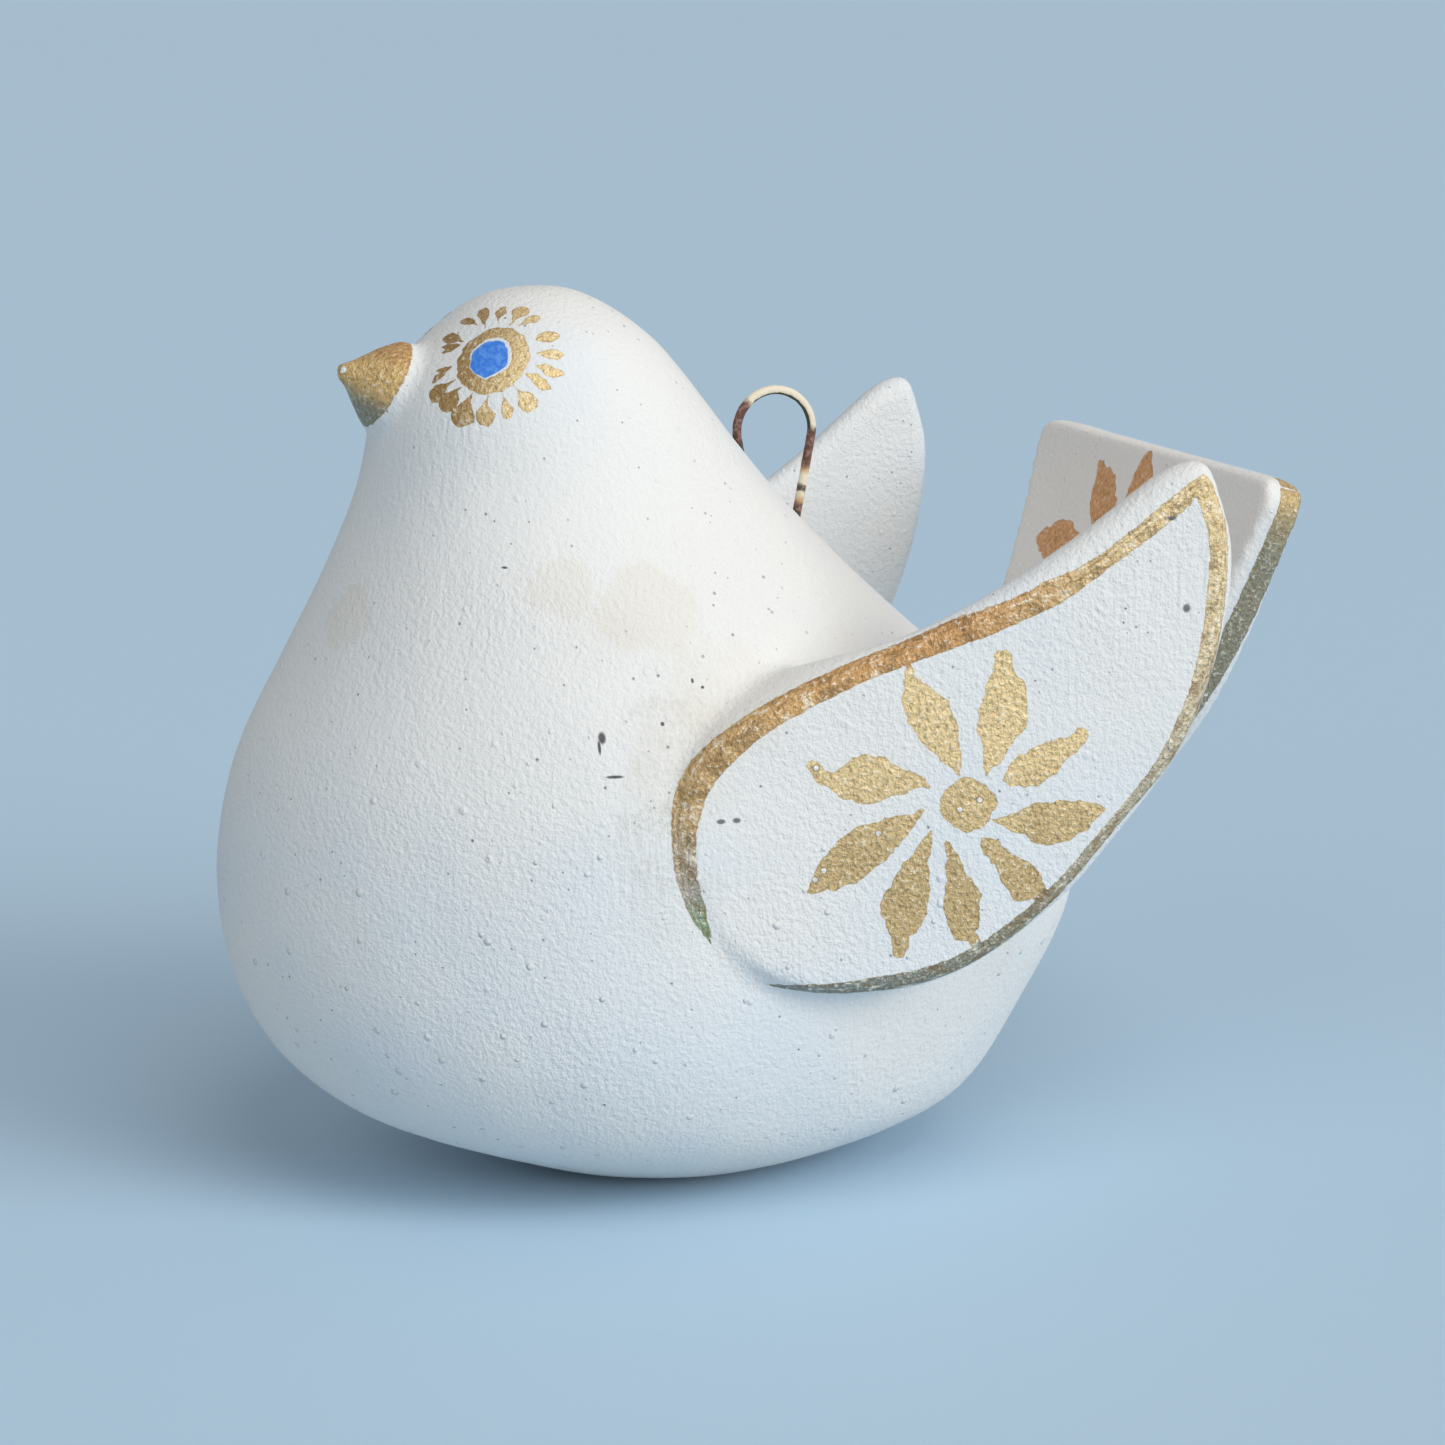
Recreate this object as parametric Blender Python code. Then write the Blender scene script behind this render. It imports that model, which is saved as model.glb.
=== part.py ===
"""A pottery dove ornament: one fired-clay bird and the bent wire loop set in its back.

The bird faces -Y, its left side is +X and +Z is up. The origin is the middle of the flat foot
that it stands on. Sizes are in millimetres, and MM turns them into Blender's metres.
"""
import math

import bmesh
import bpy
import numpy as np

MM = 0.001

# Body and head are one egg-like form. Its stations give the height as a share of BODY_HEIGHT,
# the reach in front of the origin and behind it as shares of BODY_LENGTH, and the half width
# as a share of BODY_WIDTH. The rows are the foot's edge, the underside, the breast and rump at
# their fullest, the shoulders, the neck, the cheeks and the top of the head.
BODY_HEIGHT = 97.3
BODY_LENGTH = 98.0
BODY_WIDTH = 69.0
BODY_STATIONS = (
    (0.000, 0.117, 0.117, 0.130),
    (0.008, 0.155, 0.176, 0.196),
    (0.031, 0.220, 0.255, 0.280),
    (0.067, 0.314, 0.341, 0.368),
    (0.118, 0.408, 0.400, 0.433),
    (0.195, 0.472, 0.445, 0.477),
    (0.319, 0.506, 0.488, 0.500),
    (0.453, 0.494, 0.430, 0.490),
    (0.586, 0.434, 0.308, 0.440),
    (0.710, 0.370, 0.178, 0.345),
    (0.813, 0.335, 0.087, 0.262),
    (0.895, 0.312, 0.023, 0.223),
    (0.957, 0.254, -0.035, 0.163),
    (0.993, 0.199, -0.095, 0.072),
)
CROWN_REACH = -0.137        # share of BODY_LENGTH: where the very top of the head is
WIDEST_SHARE = 0.47         # each slice is widest at this share of its length from the front
BODY_RINGS = 38
BODY_SIDES = 60
PROFILE_RINGS = 400         # finer rings, from which other pieces read the body's surface

# The beak is a blunt cone on the front of the head.
BEAK_BASE = 10.4            # diameter where it leaves the head
BEAK_LENGTH = 5.8
BEAK_TIP = 2.2              # diameter of the blunt tip's rounding
BEAK_FULLNESS = 0.26        # how far its sides swell out beyond a straight cone's, half way
BEAK_HEIGHT_SHARE = 0.895   # share of BODY_HEIGHT: the middle of its base
BEAK_TILT = 23.0            # degrees above level
BEAK_ROOT = 6.0             # how far its cone runs on into the head
BEAK_SIDES = 20

# The wings are upright leaves of clay. The outline is drawn in shares of WING_LENGTH from the
# middle of the wing: first towards the tail, then up. It starts below the tip and runs down
# the trailing edge, round under the root and back along the upper edge.
WING_LENGTH = 61.0
WING_THICKNESS = 4.0
WING_EDGE = 1.9             # depth of the rounding along the edges
WING_ROOT_THICKNESS = 12.0  # the root is a wedge that fills the space to the flank
WING_ROOT_SLOPE = 37.0      # degrees below level: the wedge thickens this way, forwards
WING_ROOT_START = 0.08      # share of WING_LENGTH past the middle where the wedge begins
WING_ROOT_END = 0.22        # share of WING_LENGTH before the middle where it is full
WING_PROUD = 1.4            # how far the root's outer face stands out from the flank
WING_SPLAY = 8.5            # degrees: the wings open towards the tail
WING_LEAN = -1.5            # degrees: they lean in a little at the top
WING_MIDDLE_REACH = 0.189   # share of BODY_LENGTH behind the origin
WING_MIDDLE_HEIGHT = 0.515  # share of BODY_HEIGHT
WING_OUTLINE = (
    (0.461, 0.457),
    (0.481, 0.390),
    (0.486, 0.320),
    (0.476, 0.238),
    (0.450, 0.133),
    (0.386, -0.008),
    (0.298, -0.119),
    (0.226, -0.205),
    (0.120, -0.302),
    (0.000, -0.370),
    (-0.140, -0.393),
    (-0.290, -0.374),
    (-0.400, -0.300),
    (-0.465, -0.190),
    (-0.484, -0.060),
    (-0.455, 0.030),
    (-0.378, 0.108),
    (-0.243, 0.175),
    (-0.074, 0.227),
    (0.062, 0.285),
    (0.205, 0.372),
    (0.320, 0.458),
    (0.396, 0.503),
    (0.430, 0.507),
)
WING_POINTS = 60
WING_EDGE_STEPS = 5

# The tail is an upright fan of clay that leaves the rump and leans back. Its outline gives the
# half width as a share of the one at its end, at shares of its length from there.
TAIL_TOP_HEIGHT = 76.3      # of the end's middle, above the floor
TAIL_TOP_REACH = 62.4       # of the end's middle, behind the origin
TAIL_LEAN = 20.0            # degrees from upright, near the end
TAIL_HALF_WIDTH = 32.6      # at the end
TAIL_OUTLINE = (
    (0.00, 1.00),
    (0.22, 0.90),
    (0.45, 0.77),
    (0.62, 0.60),
    (0.80, 0.43),
    (1.00, 0.34),
)
TAIL_THICKNESS = 5.2
TAIL_EDGE = 1.6             # depth of the rounding along its sides and end
TAIL_CORNER = 6.0           # radius of the end's corners
TAIL_ROOT_THICKNESS = 17.0  # where it runs into the rump
TAIL_LENGTH = 56.0          # end to the point inside the rump
TAIL_BEND = 45.0            # degrees: the root leans this much more than the end
TAIL_FLATNESS = 1.6         # how much sooner than an oval's a section reaches its full width
TAIL_RINGS = 15
TAIL_SIDES = 40
TAIL_LINE_STEPS = 24

# The hanging loop is a staple of wire with its two legs in sockets in the back.
WIRE_DIAMETER = 1.05
LOOP_WIDTH = 9.8            # over the arch
LOOP_REACH = 12.3           # middle of the arch, behind the origin
LOOP_SIDE = 2.0             # towards the bird's left
LOOP_STAND = 0.6            # height of the arch's front end above the back there
LOOP_PINCH = 11.0           # degrees that each leg leans in below the arch
SOCKET_DEPTH = 5.0
SOCKET_CLEARANCE = 0.3      # all round the wire and under its ends
WIRE_SIDES = 12
ARCH_STEPS = 16
LEG_STEPS = 300             # places tried along a leg to find where it meets the back
SOCKET_SIDES = 16

CLAY_COLOUR = (0.82, 0.81, 0.79, 1.0)
WIRE_COLOUR = (0.24, 0.13, 0.08, 1.0)


def cubic(knots, values, at, level_end=False):
    """Cubic spline through values: straight at its ends, or with no slope at the last one."""
    knots = np.asarray(knots, float)
    values = np.asarray(values, float)
    steps = np.diff(knots)
    slopes = np.diff(values) / steps
    count = len(knots)
    matrix = np.eye(count)
    side = np.zeros(count)
    for row in range(1, count - 1):
        matrix[row, row - 1] = steps[row - 1]
        matrix[row, row] = 2.0 * (steps[row - 1] + steps[row])
        matrix[row, row + 1] = steps[row]
        side[row] = 6.0 * (slopes[row] - slopes[row - 1])
    if level_end:
        matrix[-1, -2] = steps[-1]
        matrix[-1, -1] = 2.0 * steps[-1]
        side[-1] = -6.0 * slopes[-1]
    bends = np.linalg.solve(matrix, side)
    span = np.clip(np.searchsorted(knots, at, side="right") - 1, 0, count - 2)
    left = (np.asarray(at) - knots[span]) / steps[span]
    right = 1.0 - left
    curve = right * values[span] + left * values[span + 1]
    pull = (right ** 3 - right) * bends[span] + (left ** 3 - left) * bends[span + 1]
    return curve + steps[span] ** 2 / 6.0 * pull


def body_profile(rings):
    """Heights, front reaches, back reaches and half widths of the body at evenly spaced rings."""
    shares = np.array(BODY_STATIONS + ((1.0, -CROWN_REACH, CROWN_REACH, 0.0),))
    height, front, back, half = shares.T * np.array([[BODY_HEIGHT], [BODY_LENGTH],
                                                     [BODY_LENGTH], [BODY_WIDTH]])
    outward = np.maximum(np.abs(np.diff(front)), np.abs(np.diff(back)))
    knots = np.concatenate([[0.0], np.cumsum(np.hypot(np.diff(height), outward))])
    at = np.linspace(0.0, knots[-1], rings)
    return (cubic(knots, height, at, level_end=True), cubic(knots, front, at),
            cubic(knots, back, at), cubic(knots, half, at))


def slice_middle(front, back):
    """Reach behind the origin at which a slice of the body is widest."""
    return WIDEST_SHARE * back - (1.0 - WIDEST_SHARE) * front


def slice_at(height):
    """Front reach, back reach, half width and middle of the body's slice at one height."""
    heights, fronts, backs, halves = body_profile(PROFILE_RINGS)
    front = float(np.interp(height, heights, fronts))
    back = float(np.interp(height, heights, backs))
    half = float(np.interp(height, heights, halves))
    return front, back, half, slice_middle(front, back)


def flank_at(reach, height):
    """Distance of the body's side from the mid plane, at a reach behind the origin."""
    front, back, half, middle = slice_at(height)
    length = back - middle if reach > middle else front + middle
    return half * math.sqrt(max(0.0, 1.0 - ((reach - middle) / length) ** 2))


def back_height(reach, side):
    """Height of the back above the floor, at reaches behind the origin and one distance aside."""
    rings = [row[:-1] for row in body_profile(PROFILE_RINGS)]
    heights, fronts, backs, halves = [row[rings[0] > 0.5 * BODY_HEIGHT] for row in rings]
    middles = slice_middle(fronts, backs)
    roundness = np.sqrt(np.maximum(0.0, 1.0 - (side / halves) ** 2))
    reaches = middles + (backs - middles) * roundness
    return np.interp(-reach, -reaches, heights)


def make_object(name, points, faces, material=None):
    """One object from points in millimetres, its faces turned outwards and shaded smooth."""
    mesh = bpy.data.meshes.new(name)
    mesh.from_pydata((np.asarray(points) * MM).tolist(), [], faces)
    form = bmesh.new()
    form.from_mesh(mesh)
    bmesh.ops.recalc_face_normals(form, faces=form.faces)
    bmesh.ops.triangulate(form, faces=[face for face in form.faces if len(face.verts) > 4])
    form.to_mesh(mesh)
    form.free()
    mesh.shade_smooth()
    mesh.set_sharp_from_angle(angle=math.radians(50.0))
    made = bpy.data.objects.new(name, mesh)
    bpy.context.scene.collection.objects.link(made)
    if material is not None:
        mesh.materials.append(material)
    return made


def skin(rings, first_cap, last_cap):
    """Points and faces of a tube over rings of points, each end closed by a face or a pole."""
    count, sides = rings.shape[:2]
    points = rings.reshape(-1, 3).tolist()
    faces = []
    for ring in range(count - 1):
        for side in range(sides):
            after = (side + 1) % sides
            low, high = ring * sides, (ring + 1) * sides
            faces.append((low + side, low + after, high + after, high + side))
    if first_cap is None:
        faces.append(tuple(range(sides - 1, -1, -1)))
    else:
        points.append(list(first_cap))
        faces += [(len(points) - 1, (side + 1) % sides, side) for side in range(sides)]
    last = (count - 1) * sides
    if last_cap is None:
        faces.append(tuple(range(last, last + sides)))
    else:
        points.append(list(last_cap))
        faces += [(len(points) - 1, last + side, last + (side + 1) % sides)
                  for side in range(sides)]
    return points, faces


def make_body(material):
    """The body and head: level slices, each two half ellipses, from the flat foot to the crown."""
    height, front, back, half = body_profile(BODY_RINGS)
    middle = slice_middle(front, back)
    angle = np.linspace(0.0, 2.0 * math.pi, BODY_SIDES, endpoint=False)
    forward = np.minimum(np.sin(angle), 0.0) * (front + middle)[:, None]
    rearward = np.maximum(np.sin(angle), 0.0) * (back - middle)[:, None]
    rings = np.stack([half[:, None] * np.cos(angle),
                      middle[:, None] + forward + rearward,
                      np.repeat(height[:, None], BODY_SIDES, axis=1)], axis=-1)
    return make_object("dove", *skin(rings[:-1], None, rings[-1, 0]), material)


def make_beak():
    """A blunt cone, round in section, that starts inside the head."""
    front = slice_at(BEAK_HEIGHT_SHARE * BODY_HEIGHT)[0]
    tilt = math.radians(BEAK_TILT)
    ahead = np.array([0.0, -math.cos(tilt), math.sin(tilt)])
    across = np.array([1.0, 0.0, 0.0])
    upward = np.cross(ahead, across)
    base = np.array([0.0, -front, BEAK_HEIGHT_SHARE * BODY_HEIGHT])
    tip = 0.5 * BEAK_TIP
    half_way = 0.5 * (0.5 * BEAK_BASE + tip) + BEAK_FULLNESS
    straight = [(-BEAK_ROOT, 0.5 * BEAK_BASE), (0.0, 0.5 * BEAK_BASE),
                (0.5 * (BEAK_LENGTH - tip), half_way)]
    turns = np.radians([0.0, 30.0, 60.0])
    rounded = [(BEAK_LENGTH - tip + tip * math.sin(turn), tip * math.cos(turn)) for turn in turns]
    angle = np.linspace(0.0, 2.0 * math.pi, BEAK_SIDES, endpoint=False)
    circle = np.cos(angle)[:, None] * across + np.sin(angle)[:, None] * upward
    rings = np.array([base + ahead * along + circle * radius
                      for along, radius in straight + rounded])
    return make_object("beak_form", *skin(rings, None, base + ahead * BEAK_LENGTH))


def wing_outline(count):
    """The wing's closed outline and its outward directions, as smooth points in millimetres."""
    corners = np.array(WING_OUTLINE) * WING_LENGTH
    wrapped = np.concatenate([corners[-4:], corners, corners[:5]])
    knots = np.concatenate([[0.0], np.cumsum(np.hypot(*np.diff(wrapped, axis=0).T))])
    start, end = knots[4], knots[4 + len(corners)]
    at = np.linspace(start, end, count, endpoint=False)
    nudge = 0.05
    points = np.stack([cubic(knots, column, at) for column in wrapped.T], axis=-1)
    ahead = np.stack([cubic(knots, column, at + nudge) for column in wrapped.T], axis=-1)
    behind = np.stack([cubic(knots, column, at - nudge) for column in wrapped.T], axis=-1)
    along = ahead - behind
    along /= np.linalg.norm(along, axis=1)[:, None]
    return points, np.stack([-along[:, 1], along[:, 0]], axis=-1)


def make_wing(name, side):
    """A leaf of clay with rounded edges, thicker inwards at its root. side is 1 for the left."""
    outline, outward = wing_outline(WING_POINTS)
    reach = WING_MIDDLE_REACH * BODY_LENGTH
    height = WING_MIDDLE_HEIGHT * BODY_HEIGHT
    splay, lean = math.tan(math.radians(WING_SPLAY)), math.tan(math.radians(WING_LEAN))
    root_reach = reach + outline[:, 0].min()
    root_face = flank_at(root_reach, height) + WING_PROUD
    root_slope = math.radians(WING_ROOT_SLOPE)
    root_line = np.array([math.cos(root_slope), math.sin(root_slope)])
    rings = []
    for turn in np.linspace(-90.0, 90.0, 2 * WING_EDGE_STEPS + 1):
        inset = WING_EDGE * (1.0 - math.cos(math.radians(turn)))
        flat = outline - outward * inset
        across = 0.5 * math.sin(math.radians(turn)) - 0.5
        forward = -(flat @ root_line) / WING_LENGTH
        rootward = np.clip((forward + WING_ROOT_START) / (WING_ROOT_START + WING_ROOT_END), 0.0, 1.0)
        wedge = (WING_ROOT_THICKNESS - WING_THICKNESS) * rootward ** 2 * (3.0 - 2.0 * rootward)
        depth = across * (WING_THICKNESS + wedge)
        face = root_face + splay * (reach + flat[:, 0] - root_reach) + lean * flat[:, 1]
        rings.append(np.stack([side * (face + depth), reach + flat[:, 0], height + flat[:, 1]],
                              axis=-1))
    return make_object(name, *skin(np.array(rings), None, None))


def tail_line(along):
    """Middle of the tail in (reach, height), its direction and its thickness, from the end."""
    lean = math.radians(TAIL_LEAN)
    bend = math.radians(TAIL_BEND)
    steps = (np.arange(TAIL_LINE_STEPS) + 0.5) / TAIL_LINE_STEPS * along
    angles = lean + bend * (steps / TAIL_LENGTH) ** 2
    reach = TAIL_TOP_REACH - along * np.mean(np.sin(angles))
    height = TAIL_TOP_HEIGHT - along * np.mean(np.cos(angles))
    share = along / TAIL_LENGTH
    thickness = TAIL_THICKNESS + (TAIL_ROOT_THICKNESS - TAIL_THICKNESS) * share ** 2
    return reach, height, lean + bend * share ** 2, thickness


def make_tail():
    """A fan of clay: flat sections at its end that turn into ovals where it enters the rump."""
    ends = TAIL_EDGE * (1.0 - np.cos(np.radians([12.0, 35.0, 60.0])))
    corner = TAIL_CORNER * (1.0 - np.cos(np.radians([50.0, 70.0, 90.0])))
    rest = np.linspace(corner[-1], TAIL_LENGTH, TAIL_RINGS - 5)[1:]
    turn = np.linspace(0.0, 2.0 * math.pi, TAIL_SIDES, endpoint=False)
    shares, widths = np.array(TAIL_OUTLINE).T
    rings = []
    for along in np.concatenate([ends, corner, rest]):
        reach, height, angle, thickness = tail_line(along)
        half = TAIL_HALF_WIDTH * float(cubic(shares, widths, along / TAIL_LENGTH))
        edge = TAIL_EDGE + (half - TAIL_EDGE) * along / TAIL_LENGTH
        if along < TAIL_CORNER:
            half -= TAIL_CORNER - math.sqrt(TAIL_CORNER ** 2 - (TAIL_CORNER - along) ** 2)
        if along < TAIL_EDGE:
            thickness *= math.sqrt(1.0 - (1.0 - along / TAIL_EDGE) ** 2)
        level = np.clip(TAIL_FLATNESS * np.cos(turn), -1.0, 1.0)
        across = (half - edge) * level + edge * np.cos(turn)
        depth = 0.5 * thickness * np.sin(turn)
        rings.append(np.stack([across, reach + depth * math.cos(angle),
                               height - depth * math.sin(angle)], axis=-1))
    return make_object("tail_form", *skin(np.array(rings)[::-1], None, None))


def leg_end(reach, height, side):
    """End of a leg: down its lean from the arch to SOCKET_DEPTH below the back's surface."""
    pinch = math.radians(LOOP_PINCH)
    down = np.array([-side * math.sin(pinch), -math.cos(pinch)])
    point = np.array([reach, height])
    lengths = np.linspace(0.0, 0.5 * BODY_HEIGHT, LEG_STEPS)
    spots = point + lengths[:, None] * down
    buried = back_height(spots[:, 0], LOOP_SIDE) > spots[:, 1]
    return point + (lengths[np.argmax(buried)] + SOCKET_DEPTH) * down


def loop_path():
    """Points along the middle of the wire, from the end of the front leg to the rear one's."""
    radius = 0.5 * (LOOP_WIDTH - WIRE_DIAMETER)
    pinch = math.radians(LOOP_PINCH)
    turns = np.linspace(math.pi + pinch, -pinch, ARCH_STEPS + 1)
    reaches = LOOP_REACH + radius * np.cos(turns)
    front = back_height(reaches[0], LOOP_SIDE) + LOOP_STAND
    arch = np.stack([reaches, front + radius * (np.sin(turns) - math.sin(turns[0]))], axis=-1)
    return np.vstack([leg_end(*arch[0], -1), arch, leg_end(*arch[-1], 1)])


def tube(path, radius, sides):
    """Rings of a round section carried along a line of (reach, height) in the loop's plane."""
    along = np.gradient(path, axis=0)
    along[0], along[-1] = path[1] - path[0], path[-1] - path[-2]
    along /= np.linalg.norm(along, axis=1)[:, None]
    angle = np.linspace(0.0, 2.0 * math.pi, sides, endpoint=False)
    across = radius * np.cos(angle)
    outward = radius * np.sin(angle)
    return np.array([np.stack([LOOP_SIDE + across, reach - upward * outward,
                               height + ahead * outward], axis=-1)
                     for (reach, height), (ahead, upward) in zip(path, along)])


def make_loop(path, material):
    """The staple of wire: a round section carried along its bent line."""
    rings = tube(path, 0.5 * WIRE_DIAMETER, WIRE_SIDES)
    return make_object("hanging_loop", *skin(rings, None, None), material)


def make_socket(name, end, arch_point):
    """A round hole for one leg, a clearance wider than the wire and deeper than its end."""
    along = (arch_point - end) / np.linalg.norm(arch_point - end)
    path = np.array([end - along * SOCKET_CLEARANCE, arch_point])
    rings = tube(path, 0.5 * WIRE_DIAMETER + SOCKET_CLEARANCE, SOCKET_SIDES)
    return make_object(name, *skin(rings, None, None))


def combine(target, tool, operation):
    """Join the tool's form to the target or cut it out, and keep the tool as a hidden guide."""
    step = target.modifiers.new(tool.name, "BOOLEAN")
    step.operation = operation
    step.solver = "EXACT"
    step.object = tool
    tool.hide_render = True
    tool.display_type = "WIRE"


def make_material(name, colour, roughness, metallic):
    """A plain surface of one colour."""
    material = bpy.data.materials.new(name)
    material.use_nodes = True
    surface = material.node_tree.nodes["Principled BSDF"]
    surface.inputs["Base Color"].default_value = colour
    surface.inputs["Roughness"].default_value = roughness
    surface.inputs["Metallic"].default_value = metallic
    return material


for old in list(bpy.data.objects):
    bpy.data.objects.remove(old, do_unlink=True)

clay = make_material("painted_clay", CLAY_COLOUR, 0.8, 0.0)
wire = make_material("rusted_wire", WIRE_COLOUR, 0.6, 0.6)

dove = make_body(clay)
combine(dove, make_beak(), "UNION")
combine(dove, make_wing("left_wing_form", 1), "UNION")
combine(dove, make_wing("right_wing_form", -1), "UNION")
combine(dove, make_tail(), "UNION")
wire_line = loop_path()
combine(dove, make_socket("front_socket", wire_line[0], wire_line[1]), "DIFFERENCE")
combine(dove, make_socket("rear_socket", wire_line[-1], wire_line[-2]), "DIFFERENCE")
make_loop(wire_line, wire)
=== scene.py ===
"""The pottery dove ornament as the eye meets it: white coat, gold and blue paint, rusty wire.

The bird faces -Y, its left side is +X and the floor is Z = 0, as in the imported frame. Sizes are
in millimetres, and MM turns them into Blender's metres.
"""
import math

import bpy
import numpy as np
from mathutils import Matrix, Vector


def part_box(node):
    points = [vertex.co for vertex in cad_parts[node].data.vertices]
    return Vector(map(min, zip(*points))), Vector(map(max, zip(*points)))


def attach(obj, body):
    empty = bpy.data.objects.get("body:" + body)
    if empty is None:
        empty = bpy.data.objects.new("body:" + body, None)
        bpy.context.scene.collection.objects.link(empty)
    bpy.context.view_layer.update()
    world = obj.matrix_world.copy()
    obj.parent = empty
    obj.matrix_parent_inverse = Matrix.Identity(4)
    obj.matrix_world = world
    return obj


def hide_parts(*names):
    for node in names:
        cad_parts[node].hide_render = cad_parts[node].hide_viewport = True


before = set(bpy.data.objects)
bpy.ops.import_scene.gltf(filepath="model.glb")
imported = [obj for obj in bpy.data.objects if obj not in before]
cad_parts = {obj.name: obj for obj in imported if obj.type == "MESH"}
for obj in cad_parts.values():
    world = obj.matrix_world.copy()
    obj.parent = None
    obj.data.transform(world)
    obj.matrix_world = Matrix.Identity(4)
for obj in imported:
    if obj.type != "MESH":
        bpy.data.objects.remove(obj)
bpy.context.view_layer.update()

# The body and head.
# One hollow egg of coarse clay, closed and drawn up into a neck and head while it was soft, with
# a small flat foot pressed under it. It carries everything else.
MM = 0.001
BODY_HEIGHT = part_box("dove")[1][2] / MM
BODY_LENGTH = 98.0
BODY_WIDTH = 69.0
# Rows: height, reach in front of the middle of the foot, reach behind it and half width, as
# shares of the height, the length, the length and the width.
BODY_STATIONS = (
    (0.000, 0.117, 0.117, 0.130),
    (0.008, 0.155, 0.176, 0.196),
    (0.031, 0.220, 0.255, 0.280),
    (0.067, 0.314, 0.341, 0.368),
    (0.118, 0.408, 0.392, 0.433),
    (0.195, 0.472, 0.437, 0.477),
    (0.319, 0.506, 0.488, 0.500),
    (0.453, 0.494, 0.430, 0.490),
    (0.586, 0.434, 0.308, 0.440),
    (0.710, 0.370, 0.178, 0.345),
    (0.813, 0.335, 0.087, 0.262),
    (0.895, 0.312, 0.023, 0.223),
    (0.957, 0.254, -0.035, 0.163),
    (0.993, 0.199, -0.095, 0.072),
    (1.000, 0.137, -0.137, 0.000),
)
WIDEST_SHARE = 0.47         # a slice is widest at this share of its length from its front
BODY_RINGS = 200
BODY_SIDES = 240


def smooth_line(knots, values, at, level_end=False):
    """Cubic spline through values at knots, straight at its ends, or level at the last one."""
    knots = np.asarray(knots, float)
    values = np.asarray(values, float)
    steps = np.diff(knots)
    slopes = np.diff(values) / steps
    matrix = np.eye(len(knots))
    side = np.zeros(len(knots))
    for row in range(1, len(knots) - 1):
        matrix[row, row - 1:row + 2] = steps[row - 1], 2.0 * (steps[row - 1] + steps[row]), steps[row]
        side[row] = 6.0 * (slopes[row] - slopes[row - 1])
    if level_end:
        matrix[-1, -2:] = steps[-1], 2.0 * steps[-1]
        side[-1] = -6.0 * slopes[-1]
    bends = np.linalg.solve(matrix, side)
    span = np.clip(np.searchsorted(knots, at, side="right") - 1, 0, len(knots) - 2)
    left = (np.asarray(at) - knots[span]) / steps[span]
    right = 1.0 - left
    pull = (right ** 3 - right) * bends[span] + (left ** 3 - left) * bends[span + 1]
    return right * values[span] + left * values[span + 1] + steps[span] ** 2 / 6.0 * pull


def running_total(steps):
    """The sum of the steps so far, from 0."""
    return np.concatenate([[0.0], np.cumsum(steps)])


def whole_turn(count):
    """Equal steps once round, in radians."""
    return np.linspace(0.0, 2.0 * math.pi, count, endpoint=False)


def closed_grid(rings):
    """Points and faces of rings joined side by side, with a fan to the middle at each end."""
    count, sides = rings.shape[:2]
    here = np.arange(count * sides).reshape(count, sides)
    after = np.roll(here, -1, axis=1)
    quads = np.stack([here[:-1], after[:-1], after[1:], here[1:]], axis=-1).reshape(-1, 4)
    start = np.full(sides, count * sides)
    first = np.stack([start, after[0], here[0]], axis=-1)
    last = np.stack([start + 1, here[-1], after[-1]], axis=-1)
    points = np.vstack([rings.reshape(-1, 3), rings[0].mean(axis=0), rings[-1].mean(axis=0)])
    return points, quads.tolist() + first.tolist() + last.tolist()


def body_lines(count):
    """Heights, front reaches, back reaches and half widths along the body, foot to crown."""
    shares = np.array(BODY_STATIONS)
    height, front, back, half = shares.T * np.array([[BODY_HEIGHT], [BODY_LENGTH],
                                                     [BODY_LENGTH], [BODY_WIDTH]])
    outward = np.maximum(np.abs(np.diff(front)), np.abs(np.diff(back)))
    knots = running_total(np.hypot(np.diff(height), outward))
    at = np.linspace(0.0, knots[-1], count)
    return (smooth_line(knots, height, at, level_end=True), smooth_line(knots, front, at),
            smooth_line(knots, back, at), smooth_line(knots, half, at))


def body_surface():
    """Level slices, each two half ellipses of one width that meet at the slice's middle."""
    height, front, back, half = body_lines(BODY_RINGS)
    middle = WIDEST_SHARE * back - (1.0 - WIDEST_SHARE) * front
    turn = whole_turn(BODY_SIDES)
    reach = np.where(np.sin(turn) < 0.0, (front + middle)[:, None], (back - middle)[:, None])
    rings = np.stack([half[:, None] * np.cos(turn),
                      middle[:, None] + reach * np.sin(turn),
                      np.repeat(height[:, None], BODY_SIDES, axis=1)], axis=-1)
    return closed_grid(rings[:-1])


def flank_at(reach, height):
    """Distance of the body's side from the mid plane, at a reach behind the origin."""
    heights, fronts, backs, halves = body_lines(2 * BODY_RINGS)
    front, back, half = [np.interp(height, heights, row) for row in (fronts, backs, halves)]
    middle = WIDEST_SHARE * back - (1.0 - WIDEST_SHARE) * front
    length = back - middle if reach > middle else front + middle
    return half * math.sqrt(max(0.0, 1.0 - ((reach - middle) / length) ** 2))


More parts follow.
